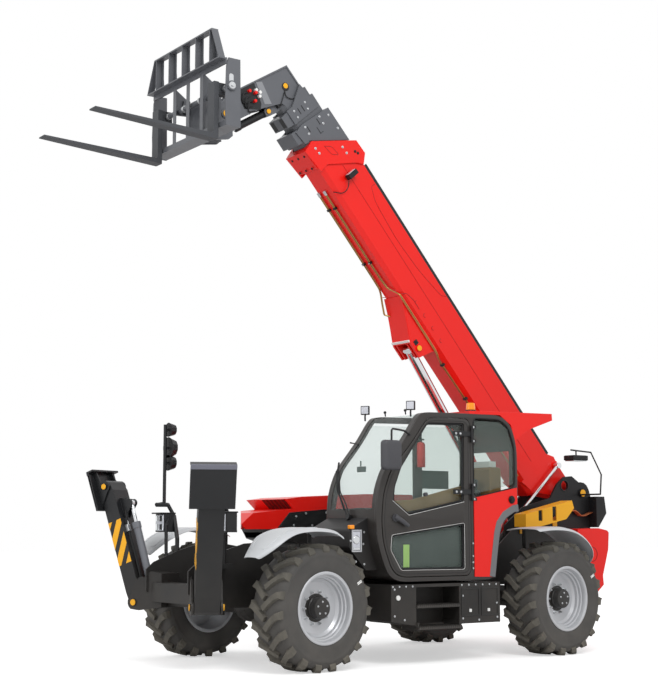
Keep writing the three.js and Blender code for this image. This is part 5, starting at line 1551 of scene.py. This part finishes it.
class FrontLamps:
    """Headlamps in their hoods and the round mirrors on the right-hand post."""

    def build(self) -> None:
        """Make both lamps and the mirrors."""
        for side in Side:
            self.headlamp(side)
        self.mirrors()

    @staticmethod
    def headlamp(side: Side) -> None:
        """Make one lamp: its hood, its lens and the four cells behind it."""
        y0, y1 = sorted((side.value * 505, side.value * 678))
        house, cells = Shape(), Shape()
        house.box((2120, y0 - 4, 1262), (2236, y1 + 4, 1446))
        house.box((2110, y0 - 10, 1440), (2286, y1 + 10, 1454))
        house.finish(f"headlamp_housing_{side.word}", BLACK, "base", bevel=8)
        lens = Shape().box((2234, y0 + 6, 1274), (2246, y1 - 6, 1432))
        lens.finish(f"headlamp_lens_{side.word}", LENS, "base", bevel=5)
        for y in (y0 + 48, y0 + 125):
            for z in (1312, 1394):
                cells.box((2244, y - 30, z - 30), (2250, y + 30, z + 30))
        cells.finish(f"headlamp_cells_{side.word}", MIRROR, "base", bevel=6)

    @staticmethod
    def mirrors() -> None:
        """Make the three round mirrors on the front post and the one at the rear."""
        glass, shells = Shape(), Shape()
        y = -600
        for z, r in ((2280, 70), (2100, 105), (1950, 80)):
            shells.rod((2156, y, z), (2096, y, z), r + 3, r * 0.6, sides=40)
            glass.rod((2084, y, z), (2090, y, z), r * 0.55, sides=36)
            shells.tube([(2190, y, z - 40), (2176, y, z - 20), (2160, y, z)], 8)
        shells.finish("post_mirror_shells", PLASTIC, "base", bevel=5)
        glass.finish("post_mirror_glass", MIRROR, "base")
        rear = Shape().box((-2294, 686, 2036), (-2066, 844, 2094))
        rear.finish("rear_mirror_shell", PLASTIC, "base", bevel=16)
        pane = Shape().box((-2280, 698, 2030), (-2080, 832, 2037))
        pane.finish("rear_mirror_glass", MIRROR, "base", bevel=3)


@dataclass(frozen=True)
class Stabiliser:
    """Stripes, pins and hoses on one folded stabiliser."""

    side: Side

    def shape(self, up: float = 0) -> Shape:
        """Return an empty shape in the leg's frame, moved along it."""
        return Shape(leg_frame(self.side) @ Matrix.Translation((0, 0, up)))

    def build(self) -> None:
        """Make the leg's and the foot's fittings."""
        self.stripes()
        self.pins()
        self.hydraulics()
        self.pad()

    def stripes(self) -> None:
        """Make the slanting stripes on the leg's face, cut off level at both ends."""
        made = self.shape()
        low, high, pitch = 390, 830, 205
        for k in range(-1, 3):
            foot = low - 40 + pitch * k
            quad = [(79, foot), (-79, foot + 230), (-79, foot + 345), (79, foot + 115)]
            clipped = self.clip(quad, low, high)
            if len(clipped) > 2:
                made.beam(clipped, 117.5, 120)
        made.finish(f"leg_stripes_{self.side.word}", YELLOW, f"leg_{self.side.word}")

    def pins(self) -> None:
        """Make the pin ends at the foot and at the chassis."""
        foot, top = self.shape(), self.shape()
        for sign in BOTH:
            foot.rod((sign * 117, 0, FOOT_PIN), (sign * 152, 0, FOOT_PIN), 28, sides=28)
            top.rod((sign * 143, 0, 0), (sign * 162, 0, 0), 30, sides=28)
        foot.finish(f"foot_pins_{self.side.word}", YELLOW, f"foot_{self.side.word}", bevel=3)
        top.finish(f"leg_pin_ends_{self.side.word}", YELLOW, "base", bevel=3)

    def hydraulics(self) -> None:
        """Make the hoses along the leg and the valve that they end in."""
        hoses = self.shape()
        for x in (44, 62):
            hoses.hose([(x, -92, 180), (x + 6, -104, 420), (x, -96, 700), (x - 16, -110, 900)], 9)
        hoses.finish(f"leg_hoses_{self.side.word}", RUBBER, f"leg_{self.side.word}")
        block = self.shape().box((34, -112, 690), (76, -80, 760)).rod((50, -100, 760), (50, -100, 800), 10)
        block.finish(f"leg_valve_{self.side.word}", ZINC, f"leg_{self.side.word}", bevel=3)

    def pad(self) -> None:
        """Make the foot's pad and the grey band across it."""
        body = f"foot_{self.side.word}"
        rings = [at_y(self.pad_outline(out), y) for y, out in ((92, 0), (119, 0), (123, 10))]
        self.shape(FOOT_PIN).loft(rings).finish(f"foot_pad_{self.side.word}", BLACK, body, bevel=4)
        band = self.shape(FOOT_PIN).box((-206, 112, 150), (206, 127, 198))
        band.finish(f"foot_band_{self.side.word}", FOOT_EDGE, body, bevel=8)

    @staticmethod
    def clip(points: Outline, low: float, high: float) -> list[tuple[float, float]]:
        """Return the part of an outline whose second value lies between two limits."""
        for limit, sign in ((low, 1), (high, -1)):
            kept = []
            for here, after in zip(points, [*points[1:], points[0]]):
                a, b = sign * (here[1] - limit), sign * (after[1] - limit)
                if a >= 0:
                    kept.append(here)
                if a * b < 0:
                    share = a / (a - b)
                    kept.append((here[0] + (after[0] - here[0]) * share, limit))
            points = kept
        return list(points)

    @staticmethod
    def pad_outline(out: float) -> list[tuple[float, float]]:
        """Return the foot pad's rounded outline, drawn in by a distance."""
        x, low, high, r = 205 - out, -215 + out, 190 - out, 36
        corners = ((x - r, high - r), (r - x, high - r), (r - x, low + r), (x - r, low + r))
        made = []
        for k, (cx, cz) in enumerate(corners):
            made += on_circle(cx, cz, r, [math.radians(90 * k + a) for a in (0, 30, 60, 90)])
        return made


class Carriage:
    """Bolts, pins, hoses and the guard's bars on the fork carriage."""

    def build(self) -> None:
        """Make the carriage's fittings."""
        pins, bolts, bars, hoses, collars = (Shape(CARRIAGE) for _ in range(5))
        shaft_x, shaft_z = 300, 70
        for y in (-290, -200, 200, 290):
            bolts.bolts([(165, y, z) for z in (-240, -60, 110)], BACKWARD, 10, 8)
        for sign in BOTH:
            pins.rod((0, sign * 146, 0), (0, sign * 152, 0), 34, sides=28)
            pins.rod((-17, sign * 62, -190), (-17, sign * 66, -190), 20, sides=24)
            start, stop = (shaft_x, sign * 752, shaft_z), (shaft_x, sign * 766, shaft_z)
            bolts.rod(start, stop, 40, 34, sides=32)
            bolts.bolt((shaft_x, sign * 764, shaft_z), (0, sign, 0), 16, 12)
            keyhole = fillet([(276, 104), (324, 104), (324, 190), (276, 190)], 22)
            bolts.plate(keyhole, *sorted((sign * 737, sign * 741)))
        pins.finish("carriage_pin_ends", YELLOW, "carriage", bevel=2)
        bolts.finish("carriage_bolts", ZINC, "carriage")
        for y in range(-540, 541, 270):
            bars.plate([(330, 342), (430, 342), (430, 650), (350, 650)], y - 5, y + 5)
        bars.finish("guard_bars", GREY, "carriage", bevel=1.5)
        for y in (176, 198):
            hoses.hose([(128, y, 150), (118, y + 4, 196), (140, y + 8, 176), (160, y + 10, 60)], 9)
        hoses.finish("carriage_hoses", RUBBER, "carriage")
        for y in (-650, -480, -160, 160, 480, 650):
            collars.rod((shaft_x, y - 14, shaft_z), (shaft_x, y + 14, shaft_z), 34, sides=28)
        collars.finish("shaft_collars", ZINC, "carriage", bevel=2)


class RearEnd:
    """Pipes behind the tower, tail lamps and the counterweight's pressings."""

    def build(self) -> None:
        """Make the rear's fittings."""
        pipes = Shape()
        for y in range(286, 335, 16):
            route = [(-2860, 1480), (-2700, 1440), (-2560, 1500), (-2300, 1420), (-2100, 1340)]
            pipes.hose(at_y(route, y), 7)
        pipes.finish("tower_pipes", COPPER, "base")
        lamp, lens, stop, ring, pins, tower = (Shape() for _ in range(6))
        plate_bolts = [(-2850, 900), (-2850, 1200), (-1650, 900), (-1650, 1200), (-2250, 1560), (-2100, 1520)]
        pivot_x, _, pivot_z = BOOM_PIVOT
        for side in BOTH:
            lamp.box((-2900, side * 420 - 95, 1150), (-2880, side * 420 + 95, 1215))
            lens.box((-2908, side * 470 - 34, 1158), (-2890, side * 470 + 34, 1207))
            stop.box((-2908, side * 380 - 40, 1158), (-2890, side * 380 + 40, 1207))
            ring.piping(on_circle(-2640, 1010, 80, turns(32)), side * 530, 5, 8)
            pins.rod((pivot_x, side * 297, pivot_z), (pivot_x, side * 305, pivot_z), 40, sides=28)
            tower.piping(on_circle(-2480, 1780, 60, turns(28)), side * 276, 7, 8)
            tower.bolts(at_y(plate_bolts, side * 275), (0, side, 0), 12)
        lamp.finish("tail_lamp_bars", PLASTIC, "base", bevel=5)
        lens.finish("tail_indicators", AMBER, "base", bevel=5)
        stop.finish("tail_stop_lenses", RED, "base", bevel=5)
        # The counterweight's pressed ring is drawn in darker red as painted shade in its groove.
        ring.finish("counterweight_ring", RED_PAINTED_SHADE, "base")
        pins.finish("pivot_pin_ends", YELLOW, "base", bevel=2)
        tower.finish("tower_fittings", BLACK, "base")


# ---- scene --------------------------------------------------------------------------------------


class Studio:
    """The floor, the lights and the camera."""

    ambient = 0.62
    floor_glow = 0.5
    reach = 60000

    def floor(self) -> None:
        """Make the pale floor."""
        made = Shape().box((-self.reach, -self.reach, -20), (self.reach, self.reach, -1))
        bmesh.ops.recalc_face_normals(made.bm, faces=made.bm.faces)
        mesh = bpy.data.meshes.new("floor")
        made.bm.to_mesh(mesh)
        floor = bpy.data.objects.new("floor", mesh)
        bpy.context.collection.objects.link(floor)
        paint = FLOOR.material()
        mesh.materials.append(paint)
        tree = paint.node_tree
        shader = tree.nodes["Principled BSDF"]
        rays = add_node(tree, "LightPath")
        lift = add_node(tree, "Math", {1: self.floor_glow}, operation="MULTIPLY")
        shader.inputs["Emission Color"].default_value = (1, 1, 1, 1)
        tree.links.new(rays.outputs["Is Camera Ray"], lift.inputs[0])
        tree.links.new(lift.outputs["Value"], shader.inputs["Emission Strength"])

    def world(self) -> None:
        """Light the scene softly from all round, on white."""
        world = bpy.data.worlds.new("studio")
        bpy.context.scene.world = world
        world.use_nodes = True
        tree = world.node_tree
        rays = add_node(tree, "LightPath")
        seen = rays.outputs["Is Camera Ray"]
        for kind in ("Is Glossy Ray", "Is Transmission Ray"):
            either = add_node(tree, "Math", operation="MAXIMUM")
            tree.links.new(seen, either.inputs[0])
            tree.links.new(rays.outputs[kind], either.inputs[1])
            seen = either.outputs["Value"]
        level = add_node(tree, "MapRange", {"To Min": self.ambient, "To Max": 1.0})
        tree.links.new(seen, level.inputs["Value"])
        back = tree.nodes["Background"]
        back.inputs["Color"].default_value = (1, 1, 1, 1)
        tree.links.new(level.outputs["Result"], back.inputs["Strength"])

    def lights(self) -> None:
        """Place one large key and one fill."""
        for name, place, energy, size in (
            ("key", (3, 9, 10), 620, 5),
            ("fill", (10, 0, 5), 160, 5),
        ):
            data = bpy.data.lights.new(name, "AREA")
            data.energy = energy
            data.size = size
            lamp = bpy.data.objects.new(name, data)
            bpy.context.collection.objects.link(lamp)
            lamp.location = place
            lamp.rotation_euler = (Vector((0, 0, 1.5)) - Vector(place)).to_track_quat("-Z", "Y").to_euler()

    def camera(self) -> None:
        """Place the camera low at the front left corner."""
        data = bpy.data.cameras.new("camera")
        data.lens = 71.24
        data.clip_end = 200
        camera = bpy.data.objects.new("camera", data)
        bpy.context.collection.objects.link(camera)
        camera.location = (8.5467, 11.6603, 1.299)
        azimuth, pitch = math.radians(-125.184), math.radians(7.333)
        level = math.cos(pitch)
        look = Vector((math.cos(azimuth) * level, math.sin(azimuth) * level, math.sin(pitch)))
        camera.rotation_euler = look.to_track_quat("-Z", "Y").to_euler()
        bpy.context.scene.camera = camera

    def build(self) -> None:
        """Set the whole studio."""
        self.floor()
        self.world()
        self.lights()
        self.camera()
        bpy.context.scene.view_settings.view_transform = "Standard"


WHEEL_STATIONS = [(end, side) for end in End for side in Side]

# CAD nodes that stay in view, by the finish they get.
KEPT = {
    CHASSIS: (
        *("frame", "front_axle", "rear_axle", "side_box", "engine_pod"),
        *(f"knuckle_{end.word}_{side.word}" for end, side in WHEEL_STATIONS),
    ),
    RED: ("counterweight", "cab_panel", "cab_roof", "engine_hood", "boom_outer", "lift_barrel"),
    YELLOW: ("rear_guard",),
    IRON: ("engine_block",),
    GREY: ("boom_second", "boom_third", "boom_nose", "quick_hitch", "fork_frame"),
    FORK: ("fork_left", "fork_right"),
    BLACK: (
        *("lamp_guard_left", "lamp_guard_right", "comp_barrel", "tilt_barrel"),
        *("leg_left", "leg_right", "foot_left", "foot_right"),
    ),
    BARREL: ("leg_barrel_left", "leg_barrel_right"),
    CHROME: ("lift_rod", "comp_rod", "tilt_rod", "leg_rod_left", "leg_rod_right"),
    CLEAR: ("right_window", "rear_window"),
    GLASS: ("quarter_window", "door_glass"),
}


def main() -> None:
    """Build the studio and every sub-assembly in order."""
    logging.basicConfig(level=logging.INFO)
    Studio().build()
    for finish, nodes in KEPT.items():
        for node in nodes:
            dress(node, finish, 0 if isinstance(finish, Glazing) else 3)
    for end, side in WHEEL_STATIONS:
        Wheel(end, side).build()
        Fender(end, side, FENDER_LINES[end]).build()
    BoomFittings().build()
    CabShell().build()
    Cab().build()
    DriverSeat().build()
    SideBox().build()
    EngineSide().build()
    FrontLamps().build()
    for side in Side:
        Stabiliser(side).build()
    Carriage().build()
    RearEnd().build()


if __name__ == "__main__":
    main()
